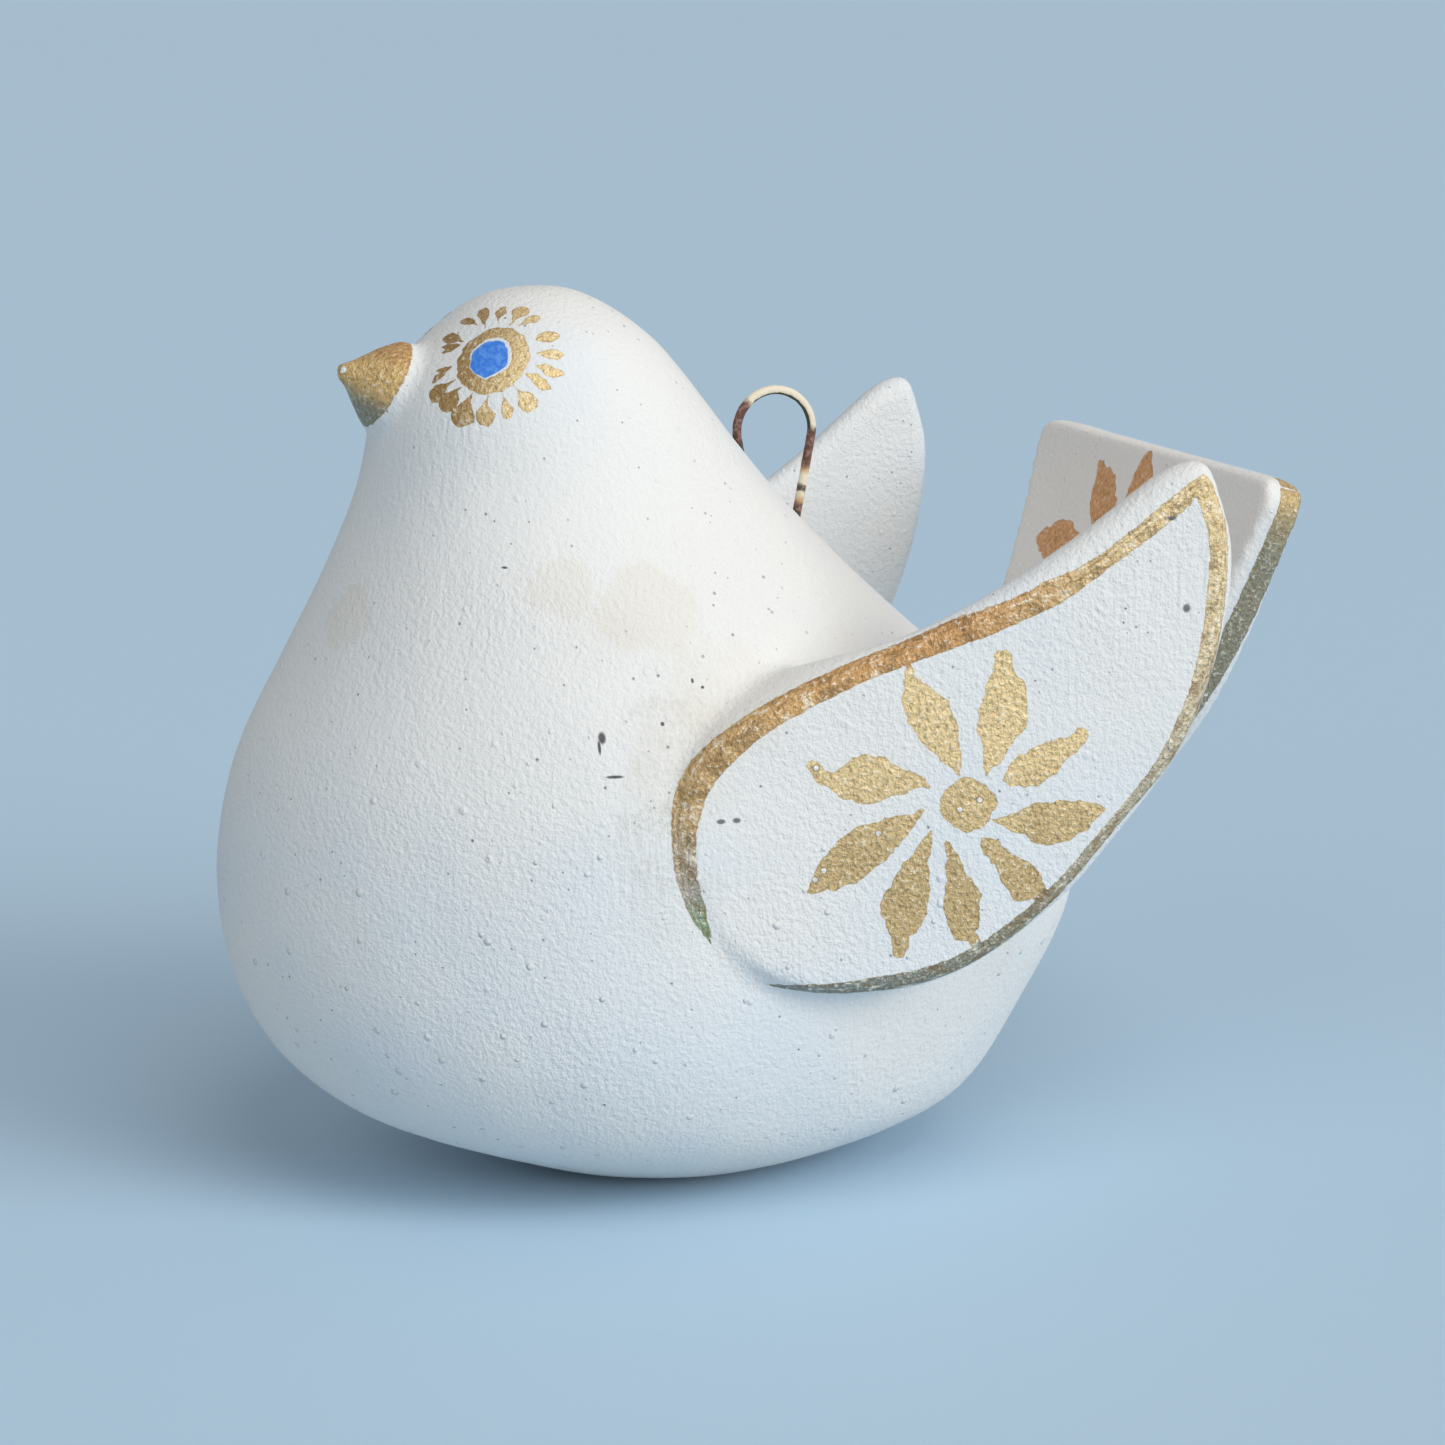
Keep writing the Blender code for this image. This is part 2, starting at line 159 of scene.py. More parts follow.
# The beak.
# A short blunt cone of the same clay, pinched out of the head and tilted up, round in section.
BEAK_BASE = 10.4
BEAK_LENGTH = 5.8
BEAK_TIP = 2.2
BEAK_FULLNESS = 0.26
BEAK_HEIGHT = 0.895 * BODY_HEIGHT
BEAK_TILT = math.radians(23.0)
BEAK_ROOT = 6.0
BEAK_SIDES = 96
BEAK_MIDDLE = np.array([0.0, -0.312 * BODY_LENGTH, BEAK_HEIGHT])
BEAK_AHEAD = np.array([0.0, -math.cos(BEAK_TILT), math.sin(BEAK_TILT)])
BEAK_UPWARD = np.array([0.0, math.sin(BEAK_TILT), math.cos(BEAK_TILT)])


def beak_surface():
    """A circle carried along the tilted axis, its radius a swollen cone's with a round tip."""
    tip = 0.5 * BEAK_TIP
    shaft = BEAK_LENGTH - tip
    swell = 0.5 * (0.5 * BEAK_BASE + tip) + BEAK_FULLNESS
    along = np.concatenate([[-BEAK_ROOT], np.linspace(0.0, shaft, 24)])
    radius = smooth_line([-BEAK_ROOT, 0.0, 0.5 * shaft, shaft],
                         [0.5 * BEAK_BASE, 0.5 * BEAK_BASE, swell, tip], along)
    turns = np.linspace(0.0, 0.45 * math.pi, 8)[1:]
    along = np.concatenate([along, shaft + tip * np.sin(turns)])
    radius = np.concatenate([radius, tip * np.cos(turns)])
    turn = whole_turn(BEAK_SIDES)
    around = np.cos(turn)[:, None] * np.array([1.0, 0.0, 0.0]) + np.sin(turn)[:, None] * BEAK_UPWARD
    rings = BEAK_MIDDLE + along[:, None, None] * BEAK_AHEAD + radius[:, None, None] * around
    return closed_grid(rings)


# The two wings.
# Upright leaves of rolled clay, cut out, rounded at the edge and pressed on to the flanks at the
# front, where a wedge of clay fills the space behind them. They stand free towards the tail.
WING_LENGTH = 61.0
WING_THICKNESS = 4.0
WING_EDGE = 1.9
WING_ROOT_THICKNESS = 12.0
WING_ROOT_SLOPE = math.radians(37.0)
WING_ROOT_START = 0.08
WING_ROOT_END = 0.22
WING_PROUD = 1.4
WING_SPLAY = math.tan(math.radians(8.5))
WING_LEAN = math.tan(math.radians(-1.5))
WING_REACH = 0.189 * BODY_LENGTH
WING_HEIGHT = 0.515 * BODY_HEIGHT
# From below the tip: down the trailing edge, round under the root, back along the upper edge.
WING_OUTLINE = (
    (0.461, 0.457), (0.481, 0.390), (0.486, 0.320), (0.476, 0.238), (0.450, 0.133),
    (0.386, -0.008), (0.298, -0.119), (0.226, -0.205), (0.120, -0.302), (0.000, -0.370),
    (-0.140, -0.393), (-0.290, -0.374), (-0.400, -0.300), (-0.465, -0.190), (-0.484, -0.060),
    (-0.455, 0.030), (-0.375, 0.103), (-0.241, 0.169), (-0.074, 0.225), (0.062, 0.285),
    (0.205, 0.372), (0.320, 0.458), (0.396, 0.503), (0.430, 0.507),
)
WING_POINTS = 360
WING_RINGS = 24
WING_EDGE_RINGS = 25


def wing_edge_line():
    """The wing's closed outline as smooth points in millimetres, with its outward directions."""
    corners = np.array(WING_OUTLINE) * WING_LENGTH
    wrapped = np.concatenate([corners[-4:], corners, corners[:5]])
    knots = running_total(np.hypot(*np.diff(wrapped, axis=0).T))
    at = np.linspace(knots[4], knots[4 + len(corners)], WING_POINTS, endpoint=False)
    points = np.stack([smooth_line(knots, column, at) for column in wrapped.T], axis=-1)
    along = np.roll(points, -1, axis=0) - np.roll(points, 1, axis=0)
    along /= np.linalg.norm(along, axis=1)[:, None]
    return points, np.stack([-along[:, 1], along[:, 0]], axis=-1)


WING_LINE, WING_OUTWARD = wing_edge_line()
WING_ROOT_REACH = WING_REACH + WING_LINE[:, 0].min()
WING_ROOT_FACE = flank_at(WING_ROOT_REACH, WING_HEIGHT) + WING_PROUD


def wing_face(reach, height):
    """Distance of the wing's outer face from the mid plane: a plane, open towards the tail."""
    return (WING_ROOT_FACE + WING_SPLAY * (reach - WING_ROOT_REACH)
            + WING_LEAN * (height - WING_HEIGHT))


def wing_surface(side):
    """The outline carried from the inner face's middle round the edge to the outer's."""
    shares = np.linspace(0.04, 0.96, WING_RINGS)
    turns = np.radians(np.linspace(-90.0, 90.0, WING_EDGE_RINGS))
    inset = np.full(WING_RINGS, WING_EDGE)
    insets = np.concatenate([inset, WING_EDGE * (1.0 - np.cos(turns)), inset])
    sizes = np.concatenate([shares, np.ones(WING_EDGE_RINGS), shares[::-1]])
    across = np.concatenate([np.full(WING_RINGS, -1.0), 0.5 * np.sin(turns) - 0.5, np.zeros(WING_RINGS)])
    flat = (WING_LINE - WING_OUTWARD * insets[:, None, None]) * sizes[:, None, None]
    root_line = np.array([math.cos(WING_ROOT_SLOPE), math.sin(WING_ROOT_SLOPE)])
    forward = -(flat @ root_line) / WING_LENGTH
    rootward = np.clip((forward + WING_ROOT_START) / (WING_ROOT_START + WING_ROOT_END), 0.0, 1.0)
    wedge = (WING_ROOT_THICKNESS - WING_THICKNESS) * rootward ** 2 * (3.0 - 2.0 * rootward)
    reach, height = WING_REACH + flat[..., 0], WING_HEIGHT + flat[..., 1]
    depth = across[:, None] * (WING_THICKNESS + wedge)
    return closed_grid(np.stack([side * (wing_face(reach, height) + depth), reach, height], axis=-1))


# The tail.
# An upright fan of thick clay pressed on to the rump, with square-cut sides and rounded corners.
# It leans back and bends a little more towards its root.
TAIL_TOP_HEIGHT = 76.5
TAIL_TOP_REACH = 61.4
TAIL_LEAN = math.radians(16.5)
TAIL_BEND = math.radians(37.0)
TAIL_HALF_WIDTH = 29.7
TAIL_OUTLINE = ((0.0, 1.0), (0.22, 0.90), (0.45, 0.77), (0.62, 0.60), (0.80, 0.43), (1.0, 0.34))
TAIL_THICKNESS = 5.0
TAIL_ROOT_THICKNESS = 19.0
TAIL_EDGE = 1.1
TAIL_CORNER = 4.0
TAIL_LENGTH = 56.0
TAIL_FLATNESS = 2.3
TAIL_STEPS = 400
TAIL_SIDES = 240


def tail_line(along):
    """Reach, height, lean and thickness of the tail's middle, at distances from its end."""
    steps = np.linspace(0.0, TAIL_LENGTH, TAIL_STEPS)
    angles = TAIL_LEAN + TAIL_BEND * (steps / TAIL_LENGTH) ** 2
    travel = 0.5 * np.diff(steps)
    back = running_total(travel * (np.sin(angles[1:]) + np.sin(angles[:-1])))
    down = running_total(travel * (np.cos(angles[1:]) + np.cos(angles[:-1])))
    share = along / TAIL_LENGTH
    thickness = TAIL_THICKNESS + (TAIL_ROOT_THICKNESS - TAIL_THICKNESS) * share ** 2
    return (TAIL_TOP_REACH - np.interp(along, steps, back),
            TAIL_TOP_HEIGHT - np.interp(along, steps, down),
            TAIL_LEAN + TAIL_BEND * share ** 2, thickness)


def tail_half_width(along):
    """Half the fan's width at distances from its end, with the end's corners rounded."""
    shares, widths = np.array(TAIL_OUTLINE).T
    half = TAIL_HALF_WIDTH * smooth_line(shares, widths, along / TAIL_LENGTH)
    short = np.clip(TAIL_CORNER - along, 0.0, TAIL_CORNER)
    return half, half - TAIL_CORNER + np.sqrt(TAIL_CORNER ** 2 - short ** 2)


def tail_surface():
    """Flat sections with square-cut sides that turn into ovals as they come near the rump.

    A side bulges as |cos|^p and |sin|^p of the turn, where p grows from 0.4 to 1 at the rump.
    """
    turns = np.radians(np.linspace(4.0, 90.0, 12))
    ends = TAIL_EDGE * (1.0 - np.cos(turns))
    corner = np.linspace(TAIL_EDGE, TAIL_CORNER, 14)[1:]
    rest = np.linspace(TAIL_CORNER, TAIL_LENGTH, 90)[1:]
    along = np.concatenate([ends, corner, rest])
    reach, height, angle, thickness = tail_line(along)
    square, half = tail_half_width(along)
    edge = TAIL_EDGE + (square - TAIL_EDGE) * (along / TAIL_LENGTH) ** 3
    bulge = (0.4 + 0.6 * (along / TAIL_LENGTH) ** 3)[:, None]
    round_end = np.clip(1.0 - along / TAIL_EDGE, 0.0, 1.0)
    thickness = thickness * np.sqrt(1.0 - round_end ** 2)
    turn = whole_turn(TAIL_SIDES)
    level = np.clip(TAIL_FLATNESS * np.cos(turn), -1.0, 1.0)
    sideways = np.sign(np.cos(turn)) * np.abs(np.cos(turn)) ** bulge
    across = (half - edge)[:, None] * level + edge[:, None] * sideways
    depth = 0.5 * thickness[:, None] * np.sign(np.sin(turn)) * np.abs(np.sin(turn)) ** bulge
    return closed_grid(np.stack([across, reach[:, None] + depth * np.cos(angle)[:, None],
                                 height[:, None] - depth * np.sin(angle)[:, None]], axis=-1))


# The bird in one piece.
# Body, beak, wings and tail were joined wet, with the joints smeared over, so one skin runs over
# all of them: soft in every hollow, slightly uneven from the fingers, and flat under the foot.
SKIN_SPACING = 0.70         # between neighbouring points of the skin
JOINT_PASSES = 110          # each pass fills sharp hollows a little more
JOINT_STEP = 0.6            # share of a hollow's depth that a pass fills
JOINT_SHARPNESS = 0.025     # hollows flatter than this between neighbours are left
EVENING_STEPS = (0.5, -0.52)    # towards the neighbours' mean and back, so nothing shrinks
FINGER_MARKS = ((17.0, 0.16, 3), (7.0, 0.07, 4), (2.6, 0.03, 5))    # spacing, height, seed
FOOT_PRESS = 0.5            # what is lower than this is pressed level


def new_piece(name, points, faces):
    """An object at the origin with these points in millimetres and these faces, smooth."""
    mesh = bpy.data.meshes.new(name)
    mesh.from_pydata((np.asarray(points) * MM).tolist(), [], faces)
    mesh.shade_smooth()
    made = bpy.data.objects.new(name, mesh)
    bpy.context.scene.collection.objects.link(made)
    return made


def apply_modifiers(piece):
    """Put the piece's evaluated mesh in its place and drop its modifiers."""
    graph = bpy.context.evaluated_depsgraph_get()
    finished = bpy.data.meshes.new_from_object(piece.evaluated_get(graph))
    piece.modifiers.clear()
    piece.data = finished


def read_all(items, name, width=1, kind=np.int32):
    """The named value of all of a mesh's items, in one array."""
    values = np.empty(width * len(items), kind)
    items.foreach_get(name, values)
    return values


def mesh_points(mesh):
    """The mesh's points in millimetres."""
    return read_all(mesh.vertices, "co", 3, np.float32).reshape(-1, 3).astype(float) / MM


def mesh_normals(mesh):
    """The outward direction at each of the mesh's points."""
    return read_all(mesh.vertex_normals, "vector", 3, np.float32).reshape(-1, 3).astype(float)


def set_points(mesh, points):
    """Move the mesh's points to these places in millimetres."""
    mesh.vertices.foreach_set("co", (points * MM).astype(np.float32).ravel())
    mesh.update()


def unevenness(points, spacing, seed):
    """Random heights from -1 to 1 on a cubic lattice, blended by 3t^2 - 2t^3 between them."""
    place = points / spacing
    low = np.floor(place).astype(int)
    part = place - low
    part = part * part * (3.0 - 2.0 * part)
    low -= low.min(axis=0)
    heights = np.random.default_rng(seed).uniform(-1.0, 1.0, low.max(axis=0) + 2)
    total = np.zeros(len(points))
    for step in np.ndindex(2, 2, 2):
        total += np.prod(np.where(step, part, 1.0 - part), axis=1) * heights[tuple((low + step).T)]
    return total


def join_surfaces(name, surfaces):
    """One object that holds several closed surfaces side by side."""
    points = []
    faces = []
    for part_points, part_faces in surfaces:
        faces += [tuple(corner + len(points) for corner in face) for face in part_faces]
        points += part_points.tolist()
    return new_piece(name, points, faces)


def soften_skin(mesh):
    """Even out the skin's steps, then raise the hollows where one form meets another."""
    one, other = read_all(mesh.edges, "vertices", 2).reshape(-1, 2).T
    count = len(mesh.vertices)
    neighbours = np.bincount(one, minlength=count) + np.bincount(other, minlength=count)

    def pull(points):
        """Step from each point to the mean of its neighbours."""
        total = [np.bincount(one, points[other, axis], count)
                 + np.bincount(other, points[one, axis], count) for axis in range(3)]
        return np.stack(total, axis=-1) / neighbours[:, None] - points

    points = mesh_points(mesh)
    for strength in EVENING_STEPS * 3:
        points += strength * pull(points)
    for _ in range(JOINT_PASSES):
        set_points(mesh, points)
        normals = mesh_normals(mesh)
        hollow = np.sum(pull(points) * normals, axis=1) - JOINT_SHARPNESS
        points += JOINT_STEP * np.clip(hollow, 0.0, None)[:, None] * normals
    for strength in EVENING_STEPS:
        points += strength * pull(points)
    set_points(mesh, points)


dove = join_surfaces("painted_dove", [body_surface(), beak_surface(), wing_surface(1),
                                      wing_surface(-1), tail_surface()])
skin = dove.modifiers.new("skin", "REMESH")
skin.mode = "VOXEL"
skin.voxel_size = SKIN_SPACING * MM
skin.use_smooth_shade = True
apply_modifiers(dove)
soften_skin(dove.data)
skin_points = mesh_points(dove.data)
marks = sum(height * unevenness(skin_points, spacing, seed) for spacing, height, seed in FINGER_MARKS)
skin_points += marks[:, None] * mesh_normals(dove.data)
foot = np.clip(1.0 - skin_points[:, 2] / FOOT_PRESS, 0.0, 1.0)
skin_points[:, 2] = np.maximum(skin_points[:, 2] * (1.0 - foot), 0.0)
set_points(dove.data, skin_points)

# The holes for the wire.
# Two narrow holes were pricked in the soft back, one for each leg of the hanging wire.
WIRE_DIAMETER = 1.05
LOOP_WIDTH = 9.8
LOOP_PINCH = math.radians(11.0)
SOCKET_DEPTH = 5.0
SOCKET_CLEARANCE = 0.3
PRICKER_START = 2.5         # above the hole's mouth
PRICKER_RADIUS = 0.5 * WIRE_DIAMETER + SOCKET_CLEARANCE
WIRE_LOW, WIRE_HIGH = [np.array(corner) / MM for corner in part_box("hanging_loop")]
LOOP_SIDE = 0.5 * (WIRE_LOW[0] + WIRE_HIGH[0])
ARCH_RADIUS = 0.5 * (LOOP_WIDTH - WIRE_DIAMETER)
ARCH_MIDDLE = np.array([LOOP_SIDE, 0.5 * (WIRE_LOW[1] + WIRE_HIGH[1]),
                        WIRE_HIGH[2] - 0.5 * WIRE_DIAMETER - ARCH_RADIUS])


def leg_line(side):
    """A leg's direction down from the arch, and where it enters the back."""
    down = np.array([0.0, -side * math.sin(LOOP_PINCH), -math.cos(LOOP_PINCH)])
    start = ARCH_MIDDLE + ARCH_RADIUS * np.array([0.0, side * math.cos(LOOP_PINCH),
                                                  -math.sin(LOOP_PINCH)])
    _, place, _, _ = dove.ray_cast((start * MM).tolist(), down.tolist())
    return down, np.array(place) / MM


def carried_circle(path, radius, sides):
    """Rings of a circle carried along a path in the loop's plane."""
    along = np.gradient(path, axis=0)
    along /= np.linalg.norm(along, axis=1)[:, None]
    across = np.array([1.0, 0.0, 0.0])
    outward = np.cross(along, across)
    turn = whole_turn(sides)
    around = np.cos(turn)[:, None] * across + np.sin(turn)[:, None] * outward[:, None]
    return path[:, None] + radius * around


LEGS = [leg_line(-1.0), leg_line(1.0)]
for down, mouth in LEGS:
    line = mouth + np.linspace(-PRICKER_START, SOCKET_DEPTH + SOCKET_CLEARANCE, 9)[:, None] * down
    pricker = new_piece("pricker", *closed_grid(carried_circle(line, PRICKER_RADIUS, 24)))
    hole = dove.modifiers.new("hole", "BOOLEAN")
    hole.operation = "DIFFERENCE"
    hole.solver = "EXACT"
    hole.object = pricker
    apply_modifiers(dove)
    bpy.data.objects.remove(pricker, do_unlink=True)
dove.data.shade_smooth()
skin_points = mesh_points(dove.data)

# The white coat.
# A thick matt white brushed over the coarse clay, whose grain, pimples and pits show through it.
# It has yellowed in spots, holds dirt in its hollows, and its white is cooler in patches.
WHITE = (0.80, 0.79, 0.765)
COOL_WHITE = (0.74, 0.765, 0.78)
YELLOWED = (0.74, 0.685, 0.60)
DIRT = (0.50, 0.46, 0.38)
GRIT = (0.27, 0.29, 0.31)
INK = (0.035, 0.032, 0.035)
SLATE = (0.12, 0.11, 0.115)
BARE_WHITE = (0.80, 0.82, 0.82)
COAT_ROUGHNESS = 0.82
# Stains on the left side: middle, reach and strength. Each has a darker rim.
STAINS = (
    ((22.9, -18.9, 68.5), 3.2, 0.5), ((25.5, -10.1, 66.4), 5.2, 0.55), ((7.9, -37.4, 64.1), 3.4, 0.6),
    ((33.0, -3.0, 60.0), 7.0, 0.35), ((31.4, -9.0, 52.0), 6.0, 0.3),
)
# Dirt in the hollow before the left wing's root, and the same wear on the right.
SMUDGES = (
    ((30.8, -8.0, 57.5), 5.5, 0.3), ((31.4, -10.1, 54.0), 4.8, 0.4), ((32.6, -11.4, 48.5), 4.5, 0.5),
    ((33.3, -11.8, 43.5), 4.5, 0.6), ((33.6, -10.5, 38.0), 4.5, 0.45), ((-32.0, -11.0, 50.0), 7.0, 0.5),
    ((-33.4, -11.0, 41.0), 5.0, 0.4),
)


def give_attribute(piece, name, values):
    """Store one vector for each point of the piece."""
    layer = piece.data.attributes.new(name, "FLOAT_VECTOR", "POINT")
    layer.data.foreach_set("vector", np.ascontiguousarray(values, np.float32).ravel())


def soft_ramp(values, low, high):
    """0 below low, 1 above high and 3t^2 - 2t^3 between them."""
    share = np.clip((values - low) / (high - low), 0.0, 1.0)
    return share * share * (3.0 - 2.0 * share)


def spots(points, rows, seed):
    """Soft patches round the rows' middles, their edges pushed about by slow unevenness."""
    ragged = 0.5 * unevenness(points, 3.5, seed) + 0.3 * unevenness(points, 1.6, seed + 1)
    total = np.zeros(len(points))
    for middle, reach, strength in rows:
        inside = 1.15 - np.linalg.norm(points - np.array(middle), axis=1) / reach - 0.45 * ragged
        rim = soft_ramp(np.abs(inside - 0.22), 0.2, 0.0)
        total += strength * (0.75 * soft_ramp(inside, 0.0, 0.5) + 0.45 * rim)
    return total


def coat_soil(points):
    """How yellowed, how dirty and how cool the coat is at each point, from 0 to 1."""
    drift = unevenness(points, 15.0, 21) + 0.6 * unevenness(points, 6.0, 22)
    yellow = 0.35 * soft_ramp(drift, 0.45, 1.3) + spots(points, STAINS, 31)
    dirt = 0.45 * spots(points, SMUDGES, 41) * (0.8 + 0.4 * unevenness(points, 1.8, 43))
    cool = soft_ramp(unevenness(points, 19.0, 51) + 0.5 * unevenness(points, 7.0, 52), -0.5, 0.9)
    return np.clip(np.stack([yellow, dirt, cool], axis=-1), 0.0, 1.0)


def coat_texture(points):
    """How strong the grain, the pimples and the brush's streaks are at each point."""
    low = soft_ramp(points[:, 2], 70.0, 12.0)
    patch = unevenness(points, 11.0, 61)
    wings = soft_ramp(np.abs(points[:, 0]), 34.0, 36.5) * soft_ramp(points[:, 1], -6.0, 0.0)
    grain = 0.95 + 0.35 * low + 0.25 * patch + 0.35 * wings
    pimples = 0.25 + 0.75 * soft_ramp(low + 0.5 * patch, 0.2, 1.0)
    streaks = soft_ramp(unevenness(points, 14.0, 62), -0.2, 0.7)
    return np.stack([grain, pimples, streaks], axis=-1)


class Value:
    """What a shader node puts out. Arithmetic on it adds Math nodes to its tree."""

    def __init__(self, socket):
        self.socket = socket

    def __add__(self, other):
        return figure("ADD", self, other)

    def __sub__(self, other):
        return figure("SUBTRACT", self, other)

    def __rsub__(self, other):
        return figure("SUBTRACT", other, self)

    def __mul__(self, other):
        return figure("MULTIPLY", self, other)

    def __truediv__(self, other):
        return figure("DIVIDE", self, other)


def link(value, socket):
    """Send a value to a socket in its tree."""
    socket.id_data.links.new(value.socket, socket)


def feed(sockets, sources):
    """Link or set each socket. Colours get their alpha here, and None leaves a socket as it is."""
    for socket, source in zip(sockets, sources):
        if isinstance(source, Value):
            link(source, socket)
        elif source is not None:
            socket.default_value = (*source, 1.0) if socket.type == "RGBA" else source


def put(kind, sources, output=0, tree=None, **settings):
    """Add a shader node fed by the sources, in their tree, and return one of its outputs."""
    tree = tree or next(source.socket.id_data for source in sources if isinstance(source, Value))
    made = tree.nodes.new("ShaderNode" + kind)
    for name, value in settings.items():
        setattr(made, name, value)
    feed(made.inputs, sources)
    return Value(made.outputs[output])


def all_outputs(value):
    """Every output of the node that a value comes from."""
    return [Value(socket) for socket in value.socket.node.outputs]


def figure(operation, *sources):
    """One step of arithmetic on numbers."""
    return put("Math", sources, operation=operation)


def vector_figure(operation, *sources, output=0):
    """One step of arithmetic on vectors."""
    return put("VectorMath", sources, output, operation=operation)


def extreme(operation, first, *others):
    """The least or the greatest of several numbers."""
    for other in others:
        first = figure(operation, first, other)
    return first


def soft_step(value, low, high, start=0.0, end=1.0):
    """start at low, end at high, level beyond both and smooth between. low may be above high."""
    return put("MapRange", (value, low, high, start, end), interpolation_type="SMOOTHSTEP")


def blend(share, one, other):
    """A colour between one and other."""
    made = share.socket.id_data.nodes.new("ShaderNodeMix")
    made.data_type = "RGBA"
    feed((made.inputs[0], made.inputs[6], made.inputs[7]), (share, one, other))
    return Value(made.outputs[2])


def noise(place, scale, detail=2.0, roughness=0.5):
    """Soft random values with scale features to the millimetre."""
    return put("TexNoise", (place, None, scale, detail, roughness))


def parted(vector):
    """The three numbers of a vector."""
    return all_outputs(put("SeparateXYZ", (vector,)))


def distance(place, middle):
    """How far a place is from a middle."""
    return vector_figure("DISTANCE", place, middle, output=1)


def oval_reach(place, middle, size):
    """Distance from an oval's middle, counted in its size along each axis."""
    way = vector_figure("DIVIDE", vector_figure("SUBTRACT", place, middle), size)
    return vector_figure("LENGTH", way, output=1)


def new_group(name, inputs, outputs):
    """An empty node group with these sockets, the values given to it and its result's sockets."""
    group = bpy.data.node_groups.new(name, "ShaderNodeTree")
    for way, sockets in (("INPUT", inputs), ("OUTPUT", outputs)):
        for socket, kind in sockets.items():
            group.interface.new_socket(socket, in_out=way, socket_type="NodeSocket" + kind)
    given = group.nodes.new("NodeGroupInput").outputs
    return group, [Value(given[socket]) for socket in inputs], group.nodes.new("NodeGroupOutput").inputs


def use_group(group, *sources):
    """Place a node group fed by the sources and return its outputs."""
    return all_outputs(put("Group", sources, node_tree=group))


def make_speck_group():
    """Round specks, at most one in a cell: how far a place lies inside one, from 0 to 1."""
    group, (place, spacing, size, share), result = new_group(
        "specks", dict(Place="Vector", Spacing="Float", Size="Float", Share="Float"), dict(Mask="Float"))
    cell_place = vector_figure("DIVIDE", place, put("CombineXYZ", (spacing,) * 3))
    away, chance = all_outputs(put("TexVoronoi", (cell_place, None, 1.0)))[:2]
    chance_kept, chance_size = all_outputs(put("SeparateColor", (chance,)))[:2]
    reach = away * spacing / (size * (chance_size * 0.7 + 0.3))
    inside = figure("MAXIMUM", 1.0 - reach * reach, 0.0)
    feed(result, (inside * figure("LESS_THAN", chance_kept, share),))
    return group


specks = make_speck_group()


def make_coat_group():
    """The white coat: its colour, and the height of its grain in millimetres."""
    group, (place, soil, texture), result = new_group(
        "white_coat", dict(Place="Vector", Soil="Vector", Texture="Vector"),
        dict(Color="Color", Height="Float"))
    yellow, dirty, cool = parted(soil)
    grain, pimply, streaky = parted(texture)
    grit = noise(place, 1.7, 3.0, 0.62)
    pits, = use_group(specks, place, 1.3, 0.20, 0.5)
    pimples, = use_group(specks, place, 1.9, 0.50, 0.30)
    streaks = noise(vector_figure("MULTIPLY", place, (1.7, 1.7, 0.15)), 1.0, 1.0)
    white = blend(cool, WHITE, COOL_WHITE)
    white = blend(yellow, white, YELLOWED)
    white = blend(dirty * soft_step(grit, 0.62, 0.36, 0.25, 1.3), white, DIRT)
    white = blend(pits * soft_step(grit, 0.60, 0.42), white, GRIT)
    height = grit * grain * 0.20 + streaks * streaky * 0.14 + pimples * pimply * 0.28 - pits * 0.16
    feed(result, (white, height))
    return group


white_coat = make_coat_group()


def attribute(tree, name):
    """A vector that each point of the piece carries."""
    return put("Attribute", (), 1, tree, attribute_name=name)


def new_finish(piece, name, roughness):
    """A new material on the piece: its tree and the place in millimetres."""
    made = bpy.data.materials.new(name)
    made.use_nodes = True
    tree = made.node_tree
    tree.nodes["Principled BSDF"].inputs["Roughness"].default_value = roughness
    piece.data.materials.append(made)
    place = Value(tree.nodes.new("ShaderNodeTexCoord").outputs["Object"])
    return tree, vector_figure("MULTIPLY", place, (1.0 / MM,) * 3)


def new_coat(name):
    """A new material on the bird: its tree, the place, and the coat's colour and height."""
    tree, place = new_finish(dove, name, COAT_ROUGHNESS)
    return tree, place, use_group(white_coat, place, attribute(tree, "soil"), attribute(tree, "texture"))


def relief(height, strength=1.0, under=None):
    """The normal of a surface raised by a height in millimetres over the one under it."""
    normal = put("Bump", (strength, MM), tree=height.socket.id_data)
    link(height, normal.socket.node.inputs["Height"])
    if under:
        link(under, normal.socket.node.inputs["Normal"])
    return normal


def dress(colour, normal):
    """Send a colour and a normal to their material's surface, and return the surface's sockets."""
    surface = colour.socket.id_data.nodes["Principled BSDF"].inputs
    link(colour, surface["Base Color"])
    link(normal, surface["Normal"])
    return surface


give_attribute(dove, "soil", coat_soil(skin_points))
give_attribute(dove, "texture", coat_texture(skin_points))


def nearest_mark(place, rows):
    """Reach to the nearest of some ovals: each row gives a middle and a size along each axis."""
    return extreme("MINIMUM", *[oval_reach(place, middle, size) for middle, size in rows])


def ink_marks(place, rows, colour, ink):
    """Small dark ovals on the colour."""
    return blend(soft_step(nearest_mark(place, rows), 1.25, 0.6, 0.0, 0.9), colour, ink)


dove.data.materials.clear()
tree, place, coat = new_coat("painted_clay")
